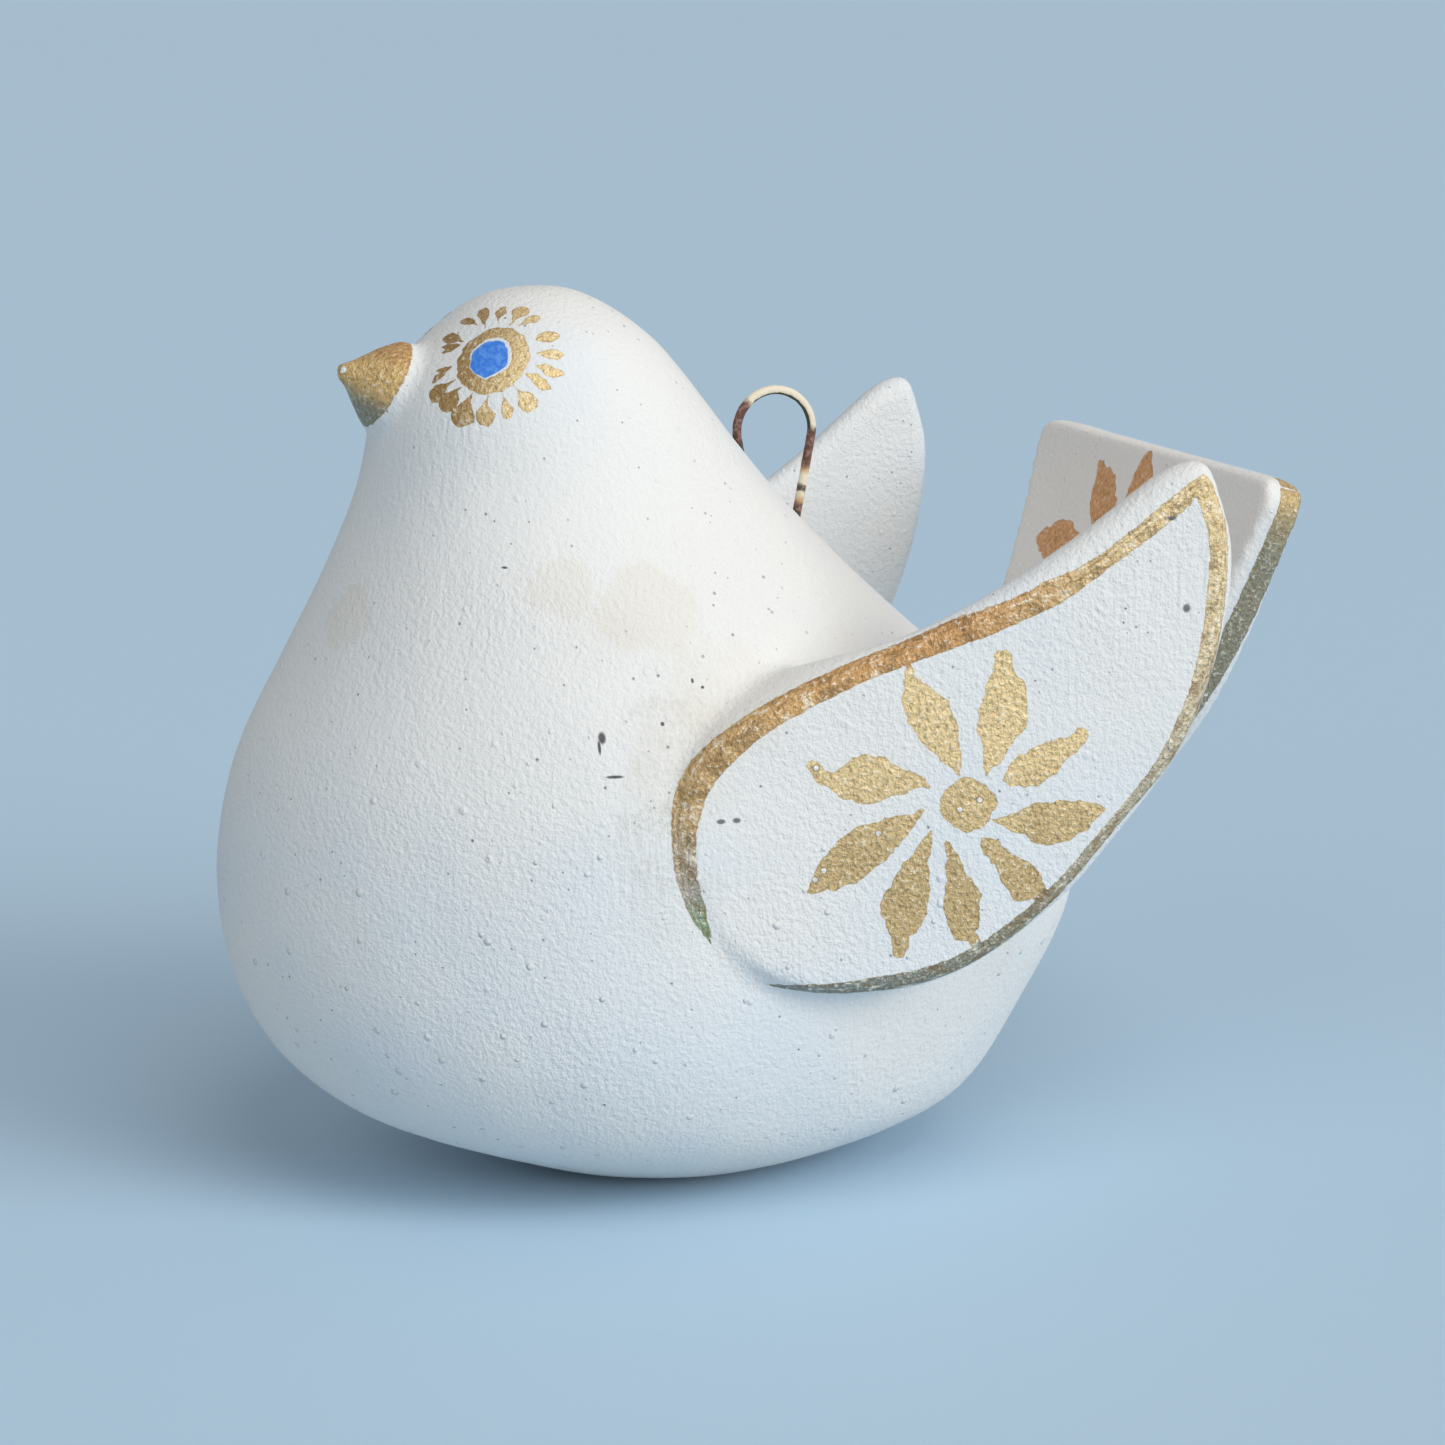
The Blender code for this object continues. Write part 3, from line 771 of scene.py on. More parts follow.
# Dark drips and dots on the left side, and the crack beside the wire's rear leg.
DRIPS = (
    ((30.3, -17.0, 54.5), (2.0, 0.40, 0.62)), ((30.4, -17.35, 53.6), (2.0, 0.17, 0.75)),
    ((31.5, -16.1, 50.7), (2.0, 0.95, 0.17)), ((32.4, -13.45, 48.9), (2.0, 0.26, 0.22)),
    ((30.8, -10.7, 55.6), (2.0, 0.22, 0.22)), ((29.2, -6.9, 59.5), (2.0, 0.16, 0.26)),
    ((29.5, -5.9, 58.8), (2.0, 0.20, 0.16)), ((19.6, -23.8, 70.6), (1.5, 0.30, 0.13)),
    ((4.9, 12.9, 73.3), (1.5, 0.75, 0.12)),
)
dress(ink_marks(place, DRIPS, coat[0], INK), relief(coat[1]))


def make_stroke_group(name, profile):
    """Depth inside a leaf-shaped stroke: the profile gives its half width from foot to tip.

    Along and Across turn the way from the foot into shares of the length and the half width, and
    the stroke's middle bows aside by Bow * along * (1 - along) half widths.
    """
    group, (place, foot, ahead, aside, half, bow), result = new_group(
        name, dict(Place="Vector", Foot="Vector", Along="Vector", Across="Vector", Half="Float",
                   Bow="Float"), dict(Depth="Float"))
    way = vector_figure("SUBTRACT", place, foot)
    along = vector_figure("DOT_PRODUCT", way, ahead, output=1)
    across = vector_figure("DOT_PRODUCT", way, aside, output=1) - along * (1.0 - along) * bow
    shape = put("FloatCurve", (None, along))
    curve = shape.socket.node.mapping
    points = curve.curves[0].points
    points[0].location, points[1].location = profile[0], profile[-1]
    for spot in profile[1:-1]:
        points.new(*spot)
    curve.update()
    beyond = extreme("MAXIMUM", along * -1.0, along - 1.0, 0.0)
    feed(result, ((shape - figure("ABSOLUTE", across)) * half - beyond * 9.0,))
    return group


def strokes(group, place, middle, rows):
    """Depth inside the nearest of several strokes round a middle.

    A row is the tip's angle round the middle, the stroke's own angle, the reaches of its inner
    and outer end from the middle, its width and how far it bows aside.
    """
    depths = []
    for tip_angle, own_angle, inner, outer, width, bow in rows:
        tip_angle, own_angle = math.radians(tip_angle), math.radians(own_angle)
        length = outer - inner
        ahead = (math.cos(own_angle), math.sin(own_angle))
        foot = (middle[0] + outer * math.cos(tip_angle) - length * ahead[0],
                middle[1] + outer * math.sin(tip_angle) - length * ahead[1], 0.0)
        half = 0.5 * width
        depths += use_group(group, place, foot, (ahead[0] / length, ahead[1] / length, 0.0),
                            (-ahead[1] / half, ahead[0] / half, 0.0), half, 4.0 * bow / half)
    return extreme("MAXIMUM", *depths)


def swayed(place, flat_place, spacing, amount):
    """A place on a flat pattern, pushed about as the painter's hand wavered."""
    drift = put("TexNoise", (place, None, 1.0 / spacing, 1.5), 1)
    aside = vector_figure("SUBTRACT", drift, (0.5, 0.5, 0.5))
    return vector_figure("MULTIPLY_ADD", aside, (amount, amount, 0.0), flat_place)


# The gold.
# A granular bronze paint, brushed on by hand: its edges fray and white specks of the coat stand
# through it. Its grains get painted highlights on their tops, and their dips are darkened, partly
# painted shade and partly the paint's own darker grains.
LIGHT_GOLD = (0.85, 0.64, 0.33)
DEEP_GOLD = (0.58, 0.42, 0.20)
BROWN_GOLD = (0.40, 0.24, 0.085)
COPPER = (0.60, 0.32, 0.12)
OLIVE_GOLD = (0.30, 0.28, 0.20)
# Darker grains with painted shade, and painted highlights on the grains.
GRAIN_DARK_AND_SHADE = (0.24, 0.14, 0.05)
GRAIN_PAINTED_HIGHLIGHT = (0.96, 0.87, 0.70)
GOLD_METALLIC = 0.25
GOLD_ROUGHNESS = 0.46
GOLD_RELIEF = 0.30


def make_gold_group():
    """Bronze paint: its colour, its mask and its grains, from a depth inside its strokes."""
    group, (place, depth, tone), result = new_group(
        "bronze_paint", dict(Place="Vector", Depth="Float", Tone="Color"),
        dict(Color="Color", Mask="Float", Grains="Float"))
    grains = noise(place, 2.1, 2.0, 0.6)
    fray = noise(place, 1.3, 1.0)
    frayed = (fray - 0.5) * 0.32 + depth + (grains - 0.5) * 0.26
    bare, = use_group(specks, place, 1.9, 0.30, 0.16)
    mask = soft_step(frayed, -0.06, 0.06) * soft_step(bare, 0.05, 0.3, 1.0, 0.0)
    # Painted shade in the grains' dips, with the paint's darker grains, and painted highlights on their
    # tops.
    shade = soft_step(grains, 0.28, 0.50, 0.55, 0.0)
    rim = soft_step(frayed, 0.30, 0.0, 0.0, 0.35)
    colour = blend(figure("MAXIMUM", shade, rim), tone, GRAIN_DARK_AND_SHADE)
    colour = blend(soft_step(grains, 0.54, 0.72, 0.0, 0.6), colour, GRAIN_PAINTED_HIGHLIGHT)
    feed(result, (colour, mask, grains))
    return group


bronze = make_gold_group()


def gild(place, coat, depth, tone, add_marks=None, white=None):
    """Bronze paint over the coat where depth is above 0, and the marks that lie over both.

    white takes the place of the coat's own colour.
    """
    colour, mask, grains = use_group(bronze, place, depth, tone)
    painted = blend(mask, white or coat[0], colour)
    if add_marks:
        painted = add_marks(painted)
    surface = dress(painted, relief(grains * GOLD_RELIEF, mask, relief(coat[1])))
    link(mask * GOLD_METALLIC, surface["Metallic"])
    link(mask * (GOLD_ROUGHNESS - COAT_ROUGHNESS) + COAT_ROUGHNESS, surface["Roughness"])


# The paint on the wings.
# A gold line runs round each outer face, and a flower of nine petals and a dot fills it.
# Rows along the line: share of the outline, from below the tip down the trailing edge and back
# along the upper edge, inset of the line from the wing's edge and width of the line. A width
# below 0 leaves a gap.
BORDER_ROWS = (
    (0.000, 0.85, 2.2), (0.016, 0.65, 2.35), (0.030, 0.90, 2.15), (0.046, 1.10, 2.1), (0.060, 0.95, 2.2),
    (0.090, 0.55, 2.3), (0.120, 0.30, 2.2), (0.150, 0.50, 2.0), (0.180, 0.65, 1.6), (0.210, 1.05, 1.2),
    (0.240, 1.15, 1.3), (0.270, 1.10, 1.4), (0.310, 1.00, 1.75), (0.360, 1.05, 1.8), (0.407, 0.90, 1.75),
    (0.447, 0.50, 1.2), (0.474, 0.25, -0.2), (0.490, 0.30, -1.5), (0.508, 0.20, -0.4), (0.520, 0.00, 0.9),
    (0.531, -0.10, 1.6), (0.540, -0.10, 1.9), (0.559, 0.05, 2.2), (0.580, 0.35, 2.35), (0.600, 0.35, 2.8),
    (0.620, 0.50, 2.95), (0.640, 0.20, 3.4), (0.660, -0.10, 3.45), (0.680, -0.10, 3.1),
    (0.700, -0.10, 3.05), (0.720, -0.10, 2.85), (0.750, 0.00, 2.3), (0.780, 0.00, 2.3), (0.800, 0.00, 2.6),
    (0.820, 0.40, 2.65), (0.840, 0.90, 2.5), (0.860, 1.15, 2.75), (0.880, 1.85, 2.1), (0.900, 2.20, 1.7),
    (0.925, 2.25, 1.9), (0.955, 2.10, 2.0), (0.975, 1.50, 2.2), (1.000, 0.85, 2.2),
)
BORDER_DEPTH = 1.3          # the line stops this far below the outer face
# The line's colours, at shares that start half way round, between its two ends. Along the lower
# edge it turns olive and dark grey: partly the paint's duller tone, partly painted shade and a
# painted bluish reflection from below.
BORDER_COLOURS = (
    (0.010, (0.12, 0.14, 0.09)), (0.022, (0.30, 0.43, 0.24)), (0.036, (0.32, 0.38, 0.27)),
    (0.046, (0.42, 0.38, 0.33)), (0.070, (0.48, 0.38, 0.26)), (0.095, (0.58, 0.39, 0.18)),
    (0.170, (0.64, 0.40, 0.17)), (0.240, (0.62, 0.34, 0.13)), (0.310, COPPER),
    (0.350, (0.66, 0.41, 0.18)), (0.410, (0.80, 0.59, 0.31)), (0.500, LIGHT_GOLD),
    (0.590, (0.78, 0.62, 0.38)), (0.680, (0.55, 0.49, 0.37)), (0.800, OLIVE_GOLD),
    (0.930, (0.24, 0.27, 0.25)),
)
FLOWER_MIDDLE = (1.2, -3.65, 0.0)
LEAVES = (
    (115.9, 119.1, 3.2, 14.9, 4.5, -0.3), (75.9, 80.9, 3.4, 15.6, 5.0, -0.9),
    (-4.2, 3.1, 2.7, 14.4, 4.5, -1.0), (-153.3, -147.1, 4.4, 18.5, 4.9, -0.4),
)
LATE_LEAVES = (
    (-54.4, -48.1, 3.6, 12.7, 3.8, 0.25), (-90.2, -79.0, 3.4, 14.5, 4.0, 0.3),
    (-117.8, -107.6, 3.9, 15.7, 4.8, -0.4), (167.2, 174.3, 4.3, 14.4, 5.1, -0.35),
)
EARLY_LEAVES = ((29.5, 28.9, 4.6, 14.5, 3.9, -0.4),)
# The brush's last touch at the end of six petals.
NIBS = (
    (112.9, 99.3, 13.4, 16.3, 0.9, -0.1), (77.3, 88.6, 13.0, 16.4, 2.0, 0.0),
    (-51.5, -49.8, 10.6, 13.3, 1.8, 0.0), (-86.2, -73.4, 12.8, 15.4, 1.3, 0.0),
    (-114.5, -94.9, 14.0, 17.3, 1.5, 0.0), (163.2, 146.3, 12.6, 17.1, 1.6, 0.25),
)
FLOWER_DOT = 2.8            # radius


def along_ramp(share, rows):
    """A colour ramp with these positions and colours."""
    ramp = put("ValToRGB", (share,))
    stops = ramp.socket.node.color_ramp.elements
    for number, (position, colour) in ((0, rows[0]), (1, rows[-1])):
        stops[number].position = position
        stops[number].color = (*colour, 1.0)
    for position, colour in rows[1:-1]:
        stops.new(position).color = (*colour, 1.0)
    return ramp


def wing_places(points):
    """Reach and height from the wing's middle, and depth below its outer face."""
    return np.stack([points[:, 1] - WING_REACH, points[:, 2] - WING_HEIGHT,
                     wing_face(points[:, 1], points[:, 2]) - np.abs(points[:, 0])], axis=-1)


def beside_line(places, line, across):
    """For each place, the number of the line's nearest point, and how far across it lies."""
    numbers = []
    asides = []
    for some in np.array_split(places, 12):
        gaps = some[:, None] - line[None]
        nearest = np.argmin(np.sum(gaps ** 2, axis=-1), axis=1)
        numbers.append(nearest)
        asides.append(np.sum(gaps[np.arange(len(some)), nearest] * across[nearest], axis=1))
    return np.concatenate(numbers), np.concatenate(asides)


def border_places(places):
    """Depths into the gold line from its outer and its inner side, and the share round the wing.

    A point's distance from the outline is measured at the nearest point of the outline.
    """
    result = np.full((len(places), 3), -9.0)
    near = (places[:, 2] < 6.0) & np.all(np.abs(places[:, :2]) < 0.56 * WING_LENGTH, axis=1)
    nearest, outside = beside_line(places[near, :2], WING_LINE, WING_OUTWARD)
    share = nearest / WING_POINTS
    shares, insets, widths = np.array(BORDER_ROWS).T
    past_inset = -outside - np.interp(share, shares, insets)
    from_outside = np.minimum(past_inset, BORDER_DEPTH - places[near, 2])
    result[near] = np.stack([from_outside, np.interp(share, shares, widths) - past_inset,
                             (share + 0.5) % 1.0], axis=-1)
    return result


wing_place = wing_places(skin_points)
border_place = border_places(wing_place)
give_attribute(dove, "wing_place", wing_place * [1.0, 1.0, 0.0])
give_attribute(dove, "border_place", border_place)

tree, place, coat = new_coat("painted_wing")
outer, inner, share = parted(attribute(tree, "border_place"))
flat_place = swayed(place, attribute(tree, "wing_place"), 1.7, 1.3)
leaf = make_stroke_group("leaf", ((0.0, 0.04), (0.07, 0.20), (0.25, 0.62), (0.45, 0.95), (0.60, 1.0),
                                  (0.76, 0.82), (0.90, 0.45), (1.0, 0.12)))
late_leaf = make_stroke_group("late_leaf", ((0.0, 0.05), (0.12, 0.28), (0.35, 0.62), (0.55, 0.92),
                                            (0.70, 1.0), (0.86, 0.78), (0.96, 0.40), (1.0, 0.1)))
early_leaf = make_stroke_group("early_leaf", ((0.0, 0.15), (0.07, 0.55), (0.20, 0.88), (0.36, 1.0),
                                              (0.60, 0.80), (0.80, 0.52), (0.94, 0.40), (1.0, 0.15)))
nib = make_stroke_group("nib", ((0.0, 0.8), (0.4, 0.95), (0.75, 1.0), (0.92, 0.75), (1.0, 0.2)))
line = figure("MINIMUM", outer, inner)
flower = extreme("MAXIMUM", FLOWER_DOT - distance(flat_place, FLOWER_MIDDLE), *[
    strokes(kind, flat_place, FLOWER_MIDDLE, rows) for kind, rows in (
        (leaf, LEAVES), (late_leaf, LATE_LEAVES), (early_leaf, EARLY_LEAVES), (nib, NIBS))])
# Fine streaks run along the line: darker ones, and pale ones that are painted highlights on the
# brush's ridges. The flower's lower petals are darker, partly a deeper gold, partly painted
# shade.
streaks = noise(put("CombineXYZ", (share * 70.0, outer * 2.2, 0.0)), 1.0, 2.0, 0.6)
line_tone = along_ramp(share, BORDER_COLOURS)
line_tone = blend(soft_step(streaks, 0.50, 0.36, 0.0, 0.6), line_tone, GRAIN_DARK_AND_SHADE)
# Painted highlights on the line's brush streaks.
line_tone = blend(soft_step(streaks, 0.57, 0.67, 0.0, 0.65), line_tone, GRAIN_PAINTED_HIGHLIGHT)
height_on_wing = parted(flat_place)[1]
# Painted shade in part: the gold darkens towards the bottom of the wing.
tone = blend(soft_step(noise(place, 0.35) * 16.0 + height_on_wing, 12.0, -3.0), LIGHT_GOLD, DEEP_GOLD)
tone = blend(soft_step(line, -0.5, -0.1), tone, line_tone)
# Two dots by the line's front end, a pit near the tip and a chip in the line.
WING_MARKS = (
    ((34.8, -5.8, 45.9), (2.0, 0.48, 0.27)), ((35.0, -4.2, 45.95), (2.0, 0.44, 0.28)),
    ((41.5, 42.7, 66.0), (2.0, 0.44, 0.46)), ((41.0, 41.0, 75.4), (2.0, 0.5, 0.25)),
)
# White grains that stand through the flower, each in a darker rim.
GRAIN_SIZE = (2.0, 0.26, 0.26)
GRAINS = ((38.5, 18.9, 46.0), (38.8, 21.0, 46.9), (36.4, 3.8, 39.4), (36.5, 4.7, 40.3), (37.3, 10.4, 43.9),
          (36.1, 4.0, 51.0))


def mark_wing(painted):
    """The wing's marks over its paint."""
    painted = ink_marks(place, WING_MARKS, painted, SLATE)
    grain = nearest_mark(place, [(middle, GRAIN_SIZE) for middle in GRAINS])
    painted = blend(soft_step(grain, 1.9, 1.2, 0.0, 0.8), painted, BROWN_GOLD)
    return blend(soft_step(grain, 1.2, 0.8), painted, BARE_WHITE)


gild(place, coat, figure("MAXIMUM", line, flower), tone, mark_wing)

# The paint on the eyes.
# On each side of the head, a blue dot in a ring of gold, with eighteen short petals round it:
# twelve drops with thin tails and six narrow ovals. The gold is darkened towards the beak with
# painted shade.
EYE_MIDDLE = np.array([10.9, -22.2, 90.7])
EYE_TURN = math.radians(54.0)       # from straight ahead towards the side
EYE_LIFT = math.radians(38.0)       # above level
BLUE = (0.045, 0.21, 0.75)
PALE_BLUE = (0.13, 0.36, 0.86)
EYE_DROPS = (
    (63.0, 46.0, 4.7, 7.2, 1.3, 0.0), (80.0, 78.0, 4.6, 7.9, 1.8, 0.0), (98.0, 96.0, 4.8, 7.7, 1.2, 0.0),
    (114.0, 112.0, 4.8, 8.3, 1.45, 0.0), (131.0, 150.0, 5.2, 8.4, 1.2, 0.0),
    (150.0, 155.0, 4.3, 8.1, 1.5, 0.0), (-145.0, -142.0, 4.3, 7.8, 2.1, -0.1),
    (-129.0, -127.0, 3.9, 7.4, 2.4, 0.0), (-110.0, -108.0, 4.0, 7.9, 2.6, 0.1),
    (-88.0, -90.0, 4.2, 7.2, 2.1, 0.0), (-67.0, -68.0, 4.2, 6.9, 1.3, 0.1),
    (-45.0, -46.0, 3.9, 7.2, 2.1, 0.0),
)
EYE_OVALS = (
    (36.0, 34.0, 4.8, 7.3, 1.5, 0.0), (13.0, 12.0, 4.6, 7.1, 1.3, 0.0), (-5.0, -6.0, 4.5, 7.5, 1.1, 0.0),
    (-22.0, -27.0, 4.1, 6.9, 1.3, 0.0), (-163.0, -148.0, 4.6, 7.6, 1.4, 0.0),
    (167.0, -170.0, 4.4, 7.7, 1.4, 0.0),
)
PETALS_MIDDLE = (0.0, 0.2)


def eye_places(points):
    """Places on the plane that touches the head at the eye: rearward, upward and outward."""
    side = np.array([math.cos(EYE_TURN), math.sin(EYE_TURN), 0.0])
    outward = np.array([math.sin(EYE_TURN) * math.cos(EYE_LIFT),
                        -math.cos(EYE_TURN) * math.cos(EYE_LIFT), math.sin(EYE_LIFT)])
    mirrored = np.abs(points[:, :1]) * [1.0, 0.0, 0.0] + points * [0.0, 1.0, 1.0]
    return (mirrored - EYE_MIDDLE) @ np.stack([side, np.cross(outward, side), outward], axis=-1)


eye_place = eye_places(skin_points)
give_attribute(dove, "eye_place", eye_place * [1.0, 1.0, 0.0])
tree, place, coat = new_coat("painted_eye")
flat_place = swayed(place, attribute(tree, "eye_place"), 1.3, 0.7)
drop = make_stroke_group("eye_petal", ((0.0, 0.0), (0.25, 0.16), (0.48, 0.66), (0.72, 1.0),
                                       (0.90, 0.72), (1.0, 0.0)))
oval = make_stroke_group("eye_oval", ((0.0, 0.1), (0.14, 0.42), (0.32, 0.86), (0.55, 1.0),
                                      (0.78, 0.88), (0.93, 0.5), (1.0, 0.1)))
iris = 2.08 - oval_reach(flat_place, (-0.45, 0.3, 0.0), (1.0, 1.12, 1.0))
ring_inside = oval_reach(flat_place, (-0.32, 0.46, 0.0), (1.0, 1.12, 1.0)) - 2.33
ring_outside = 3.95 - oval_reach(flat_place, (-0.1, 0.3, 0.0), (1.0, 1.07, 1.0))
rays = figure("MAXIMUM", strokes(drop, flat_place, PETALS_MIDDLE, EYE_DROPS),
              strokes(oval, flat_place, PETALS_MIDDLE, EYE_OVALS))
rearward = parted(flat_place)[0]
# Painted shade: the gold darkens towards the beak.
tone = blend(soft_step(noise(place, 0.5) * 5.0 + rearward, 6.5, -2.5), LIGHT_GOLD, BROWN_GOLD)
blotches = noise(place, 1.6, 2.0, 0.6)
iris_colour = blend(soft_step(blotches, 0.42, 0.70, 0.0, 0.8), BLUE, PALE_BLUE)
gild(place, coat, figure("MAXIMUM", figure("MINIMUM", ring_outside, ring_inside), rays), tone,
     lambda painted: blend(soft_step(iris, -0.05, 0.06), painted, iris_colour))

# The paint on the beak.
# Brownish gold all over, to a slanting edge near its joint with the head. It is worn off the tip
# and copper above, and darkened below with painted shade.
BEAK_GOLD = (0.66, 0.44, 0.18)
BEAK_PAINT_START = 0.22     # ahead of the base, half way up
BEAK_PAINT_SLANT = 0.14
BEAK_WORN = (0.7, -35.75, 89.3)
BEAK_WORN_REACH = 0.40


def beak_places(points):
    """Distance ahead of the beak's base, height above its axis and distance from its axis."""
    from_base = points - BEAK_MIDDLE
    ahead = from_base @ BEAK_AHEAD
    away = np.linalg.norm(from_base - ahead[:, None] * BEAK_AHEAD, axis=1)
    return np.stack([ahead, from_base @ BEAK_UPWARD, away], axis=-1)


beak_place = beak_places(skin_points)
give_attribute(dove, "beak_place", beak_place)
tree, place, coat = new_coat("painted_beak")
ahead, above = parted(attribute(tree, "beak_place"))[:2]
# Painted shade on the beak's underside.
tone = blend(soft_step(above, -0.6, -3.0), BEAK_GOLD, OLIVE_GOLD)
tone = blend(soft_step(above, 1.5, 4.0, 0.0, 0.8), tone, COPPER)
past_edge = above * BEAK_PAINT_SLANT + (ahead - BEAK_PAINT_START)
past_worn = distance(swayed(place, place, 0.7, 1.2), BEAK_WORN) - BEAK_WORN_REACH
gild(place, coat, figure("MINIMUM", past_edge, past_worn), tone)

# The paint on the tail.
# A coppery flower like the wings' on its front, and a gold stripe down each cut side. The front's
# white is painted warmer and brighter: a painted warm reflected light.
TAIL_MIDDLE = (0.0, 17.6, 0.0)
TAIL_DOT = 3.3              # radius
TAIL_LEAVES = (
    (-127.4, -128.0, 4.5, 17.6, 5.6, 0.2), (-88.0, -92.0, 4.2, 16.6, 5.2, 0.0),
    (-170.6, -178.0, 6.5, 20.0, 6.0, 0.0), (152.0, 154.0, 4.0, 16.5, 4.6, 0.0),
    (112.0, 110.0, 4.0, 15.5, 4.2, 0.2), (72.0, 74.0, 4.0, 15.0, 4.2, 0.0),
    (32.0, 30.0, 4.0, 15.0, 4.4, 0.0), (-8.0, -6.0, 4.0, 15.0, 4.6, 0.2),
    (-48.0, -47.0, 4.2, 15.0, 4.6, 0.0),
)
TAIL_NIBS = ((-118.4, -108.0, 9.5, 14.6, 2.2, 0.0),)
TAIL_COPPER = (0.78, 0.38, 0.15)
# Painted warm reflected light for the tail's front.
PAINTED_WARM_LIGHT = (0.90, 0.85, 0.80)


def tail_places(points):
    """Side, distance from the tail's end, depth behind its middle, and distance in from its side.

    The distance from the end is that of the nearest point of the tail's middle line.
    """
    result = np.full((len(points), 4), 99.0)
    near = (points[:, 1] > 30.0) & (points[:, 2] > 22.0)
    steps = np.linspace(-2.0, TAIL_LENGTH, TAIL_STEPS)
    reach, height, lean, _ = tail_line(steps)
    nearest, depth = beside_line(points[near, 1:], np.stack([reach, height], axis=-1),
                                 np.stack([np.cos(lean), -np.sin(lean)], axis=-1))
    along = steps[nearest]
    square, _ = tail_half_width(np.clip(along, 0.0, TAIL_LENGTH))
    side = points[near, 0]
    result[near] = np.stack([side, along, depth, square - np.abs(side)], axis=-1)
    return result


tail_place = tail_places(skin_points)
give_attribute(dove, "tail_place", tail_place[:, :3] * [1.0, 1.0, 0.0])
give_attribute(dove, "tail_depth", tail_place[:, [3, 2, 1]])
tree, place, coat = new_coat("painted_tail")
flat_place = swayed(place, attribute(tree, "tail_place"), 1.7, 1.6)
from_side, depth, from_end = parted(attribute(tree, "tail_depth"))
on_face = -1.2 - depth
flower = extreme("MAXIMUM", strokes(leaf, flat_place, TAIL_MIDDLE, TAIL_LEAVES),
                 strokes(nib, flat_place, TAIL_MIDDLE, TAIL_NIBS),
                 TAIL_DOT - distance(flat_place, TAIL_MIDDLE))
flower = figure("MINIMUM", flower, on_face)
at_corner = figure("MINIMUM", 0.8 - from_end, 4.0 - from_side)
stripe = extreme("MINIMUM", figure("MAXIMUM", 1.6 - from_side, at_corner), depth + 0.6, 2.3 - depth)
tone = blend(soft_step(from_end, 1.0, 9.0), DEEP_GOLD, OLIVE_GOLD)
tone = blend(soft_step(stripe, -0.6, -0.2), TAIL_COPPER, tone)
# Painted warm reflected light on the tail's front.
front_with_warm_light = blend(soft_step(on_face, -0.6, 0.4, 0.0, 0.75), coat[0], PAINTED_WARM_LIGHT)
gild(place, coat, figure("MAXIMUM", flower, stripe), tone, white=front_with_warm_light)

# Each part of the skin wears its own finish. A face takes the highest number at its corners.
corners = read_all(dove.data.loops, "vertex_index")
starts = read_all(dove.data.polygons, "loop_start")
on_wing = (wing_place[:, 2] < 2.6) & (border_place[:, 0] > -3.0)
on_eye = (np.hypot(eye_place[:, 0], eye_place[:, 1]) < 10.5) & (eye_place[:, 2] > -5.0)
on_beak = (beak_place[:, 0] > -2.5) & (beak_place[:, 2] < 7.5)
on_tail = (tail_place[:, 1] < 45.0) & (np.abs(tail_place[:, 2]) < 9.0)
finish = np.zeros(len(skin_points), np.int32)
for number, part in ((4, on_tail), (1, on_wing), (2, on_eye), (3, on_beak)):
    finish[part] = number
dove.data.polygons.foreach_set("material_index", np.maximum.reduceat(finish[corners], starts))

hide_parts("dove")
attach(dove, "root")

# The hanging wire.
# A staple of mild steel wire pushed into the back while the clay was soft. It has rusted, and
# some of the cream undercoat that ran over it still clings to the arch and the rear leg.
RUST = (0.12, 0.05, 0.03)
PALE_RUST = (0.27, 0.16, 0.13)
CREAM = (0.80, 0.71, 0.55)
TAN = (0.58, 0.36, 0.19)
BARE_DARK = (0.055, 0.055, 0.03)
# The wire's colours at shares of its length in the open, from the front leg's foot.
WIRE_COLOURS = (
    (0.000, BARE_DARK), (0.020, RUST), (0.185, RUST), (0.220, CREAM), (0.600, CREAM), (0.622, RUST),
    (0.775, RUST), (0.795, TAN), (0.825, CREAM), (0.862, CREAM), (0.874, BARE_DARK), (0.892, BARE_DARK),
    (0.903, CREAM), (0.938, TAN), (0.955, RUST), (1.000, BARE_DARK),
)
WIRE_BARE = 0.03            # how much less the radius is under the crust
WIRE_CRUST = 0.02
WIRE_RINGS = 150
WIRE_SIDES = 24
RUST_ROUGHNESS = 0.72
ARCH_TURNS = np.linspace(math.pi + LOOP_PINCH, -LOOP_PINCH, 60)


def wire_path():
    """Down end of the front leg, over the arch and down to the end of the rear leg."""
    arch = ARCH_MIDDLE + ARCH_RADIUS * np.stack([np.zeros(len(ARCH_TURNS)), np.cos(ARCH_TURNS),
                                                 np.sin(ARCH_TURNS)], axis=-1)
    ends = [mouth + SOCKET_DEPTH * down for down, mouth in LEGS]
    corners = np.vstack([ends[0], arch, ends[1]])
    knots = running_total(np.linalg.norm(np.diff(corners, axis=0), axis=1))
    at = np.linspace(0.0, knots[-1], WIRE_RINGS)
    return np.stack([np.interp(at, knots, column) for column in corners.T], axis=-1), at


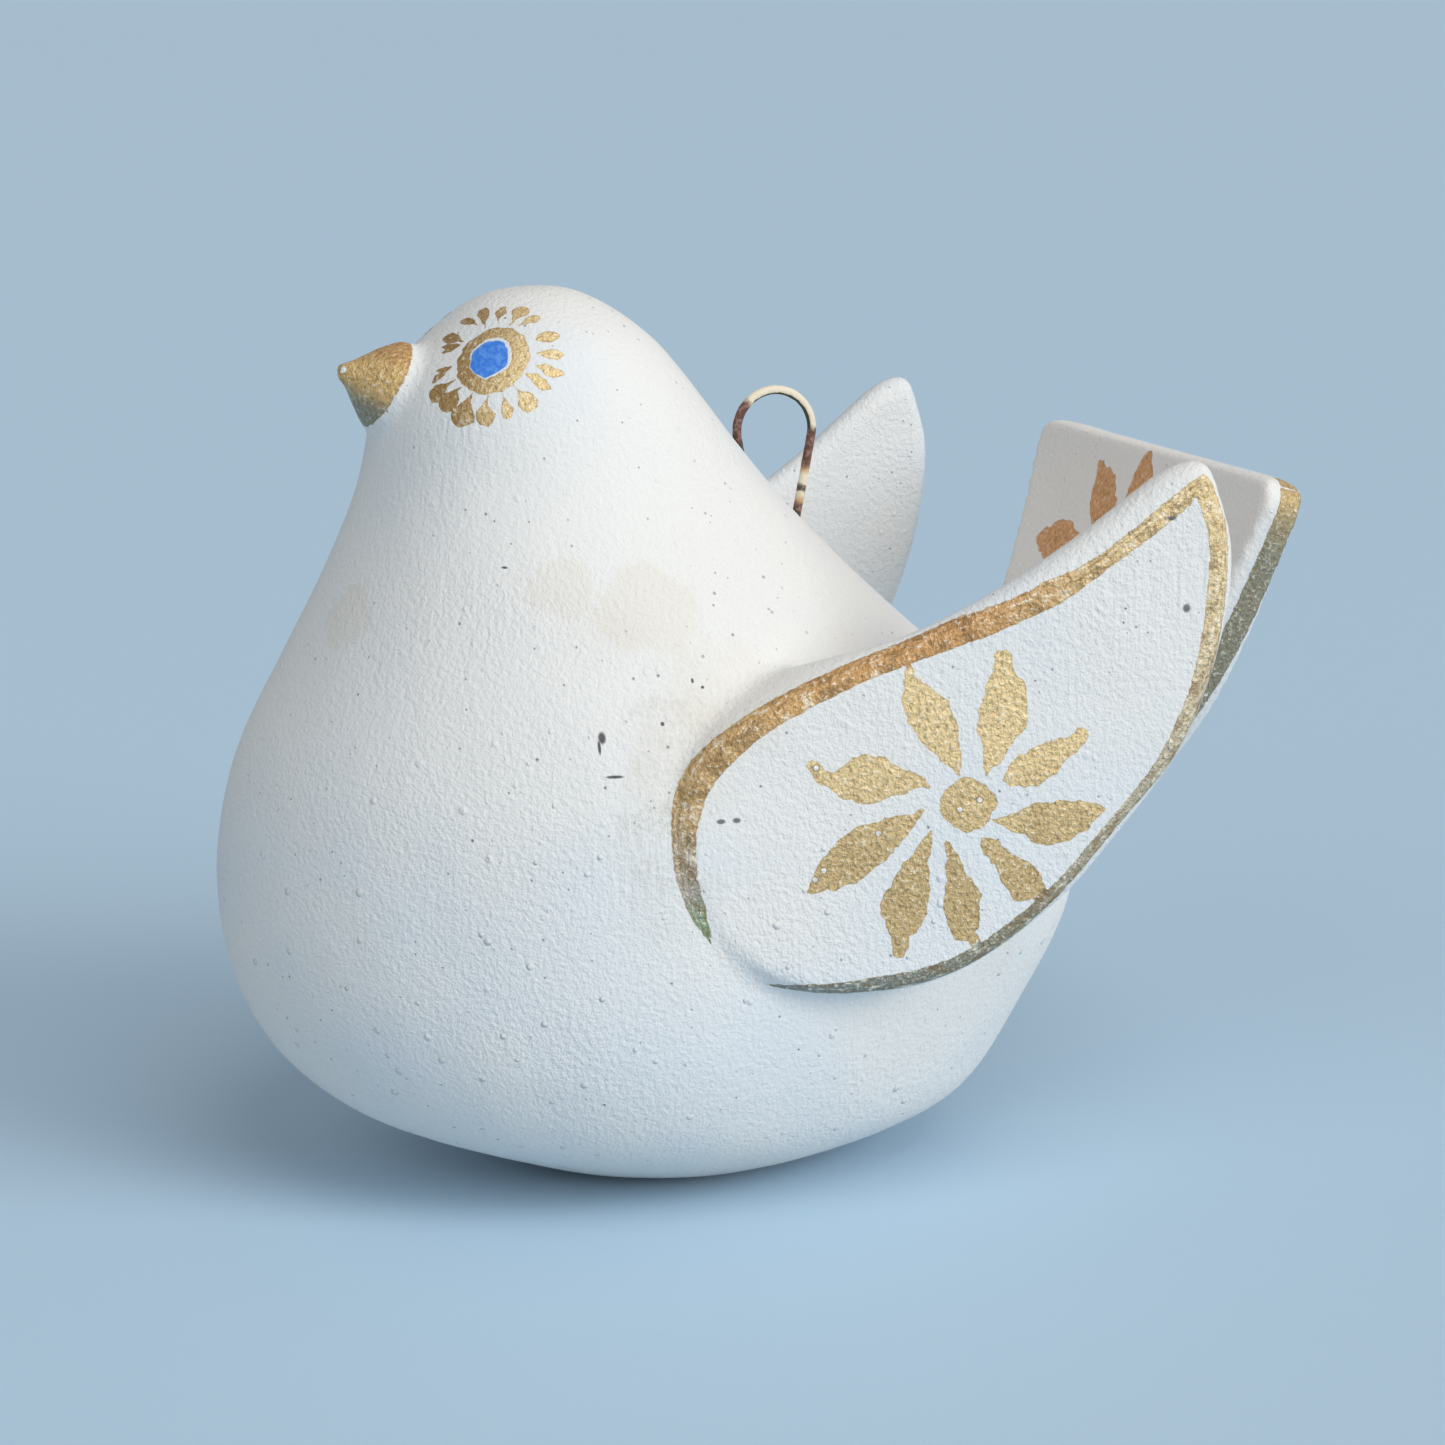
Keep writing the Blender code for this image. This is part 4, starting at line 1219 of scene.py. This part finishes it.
path, path_lengths = wire_path()
rings = carried_circle(path, 0.5 * WIRE_DIAMETER - WIRE_BARE, WIRE_SIDES)
flat_rings = rings.reshape(-1, 3)
crust = unevenness(flat_rings, 0.9, 11) + 0.6 * unevenness(flat_rings, 0.4, 12)
spokes = flat_rings - np.repeat(path, WIRE_SIDES, axis=0)
spokes /= np.linalg.norm(spokes, axis=1)[:, None]
rings = (flat_rings + WIRE_CRUST * crust[:, None] * spokes).reshape(rings.shape)
loop = new_piece("hanging_wire", *closed_grid(rings))
in_open = (path_lengths - SOCKET_DEPTH) / (path_lengths[-1] - 2.0 * SOCKET_DEPTH)
wire_place = np.stack([np.repeat(in_open, WIRE_SIDES), np.tile(-np.sin(whole_turn(WIRE_SIDES)), WIRE_RINGS),
                       np.zeros(len(flat_rings))], axis=-1)
give_attribute(loop, "wire_place", np.vstack([wire_place, [[0.0, 0.0, 0.0], [1.0, 0.0, 0.0]]]))

tree, place = new_finish(loop, "rusted_wire", RUST_ROUGHNESS)
share, outer_side = parted(attribute(tree, "wire_place"))[:2]
mottle = noise(place, 1.3, 3.0, 0.6)
coloured = along_ramp((mottle - 0.5) * 0.05 + share, WIRE_COLOURS)
bloom = noise(place, 2.2, 2.0, 0.6)
rusty = 1.0 - soft_step(put("RGBToBW", (coloured,)), 0.10, 0.25)
coloured = blend(rusty * soft_step(bloom, 0.42, 0.66), coloured, PALE_RUST)
inside = soft_step(mottle * 0.6 + outer_side, -0.15, -0.35)
bared = inside * soft_step(figure("ABSOLUTE", share - 0.42), 0.22, 0.19)
dress(blend(bared, coloured, BARE_DARK), relief(bloom * 0.10))
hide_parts("hanging_loop")
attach(loop, "root")

# The floor.
# A wide board under the bird, matt and pale blue.
FLOOR_RADIUS = 14.0
bpy.ops.mesh.primitive_circle_add(vertices=96, radius=FLOOR_RADIUS, fill_type="TRIFAN")
floor = bpy.context.object
floor.name = "floor"
board = bpy.data.materials.new("floor")
board.use_nodes = True
surface = board.node_tree.nodes["Principled BSDF"]
surface.inputs["Base Color"].default_value = (0.48, 0.65, 0.80, 1.0)
surface.inputs["Roughness"].default_value = 0.7
floor.data.materials.append(board)

# Light and camera.
# Soft daylight from a window behind the bird's left side, more from above and a little from in
# front, and a pale room.
SOFTNESS = math.radians(35.0)
CAMERA_DISTANCE = 0.400
CAMERA_TARGET = np.array([0.0, 0.007, 0.0483])
SENSOR = 36.0
FOCAL_PIXELS = 3600.0       # for a picture 1445 pixels wide
PICTURE_WIDTH = 1445.0


def direction(turn, lift):
    """Unit vector towards a place this far round from the front and above level, in degrees."""
    turn, lift = math.radians(turn), math.radians(lift)
    return np.array([math.sin(turn) * math.cos(lift), -math.cos(turn) * math.cos(lift), math.sin(lift)])


def aim(thing, turn, lift, distance):
    """Put a lamp or camera round the bird, looking at it."""
    thing.location = (CAMERA_TARGET + distance * direction(turn, lift)).tolist()
    thing.rotation_euler = (math.radians(90.0 - lift), 0.0, math.radians(turn))
    bpy.context.scene.collection.objects.link(thing)


def soft_sun(name, turn, lift, strength, colour):
    """Soft parallel light from this direction."""
    lamp = bpy.data.lights.new(name, "SUN")
    lamp.angle = SOFTNESS
    lamp.energy = strength
    lamp.color = colour
    aim(bpy.data.objects.new(name, lamp), turn, lift, CAMERA_DISTANCE)


soft_sun("window", 128.0, 24.0, 1.74, (1.0, 0.985, 0.96))
soft_sun("skylight", 98.0, 56.0, 0.78, (0.98, 0.99, 1.0))
soft_sun("doorway", 38.0, 33.0, 0.31, (1.0, 0.97, 0.93))

world = bpy.data.worlds.new("room")
world.use_nodes = True
world.node_tree.nodes["Background"].inputs["Color"].default_value = (0.90, 0.93, 0.96, 1.0)
world.node_tree.nodes["Background"].inputs["Strength"].default_value = 0.35
bpy.context.scene.world = world

lens = bpy.data.cameras.new("camera")
lens.sensor_width = SENSOR
lens.lens = SENSOR * FOCAL_PIXELS / PICTURE_WIDTH
lens.clip_start = 0.01
lens.clip_end = 100.0
camera = bpy.data.objects.new("camera", lens)
aim(camera, 70.0, 12.0, CAMERA_DISTANCE)
bpy.context.scene.camera = camera
bpy.context.scene.view_settings.view_transform = "Standard"
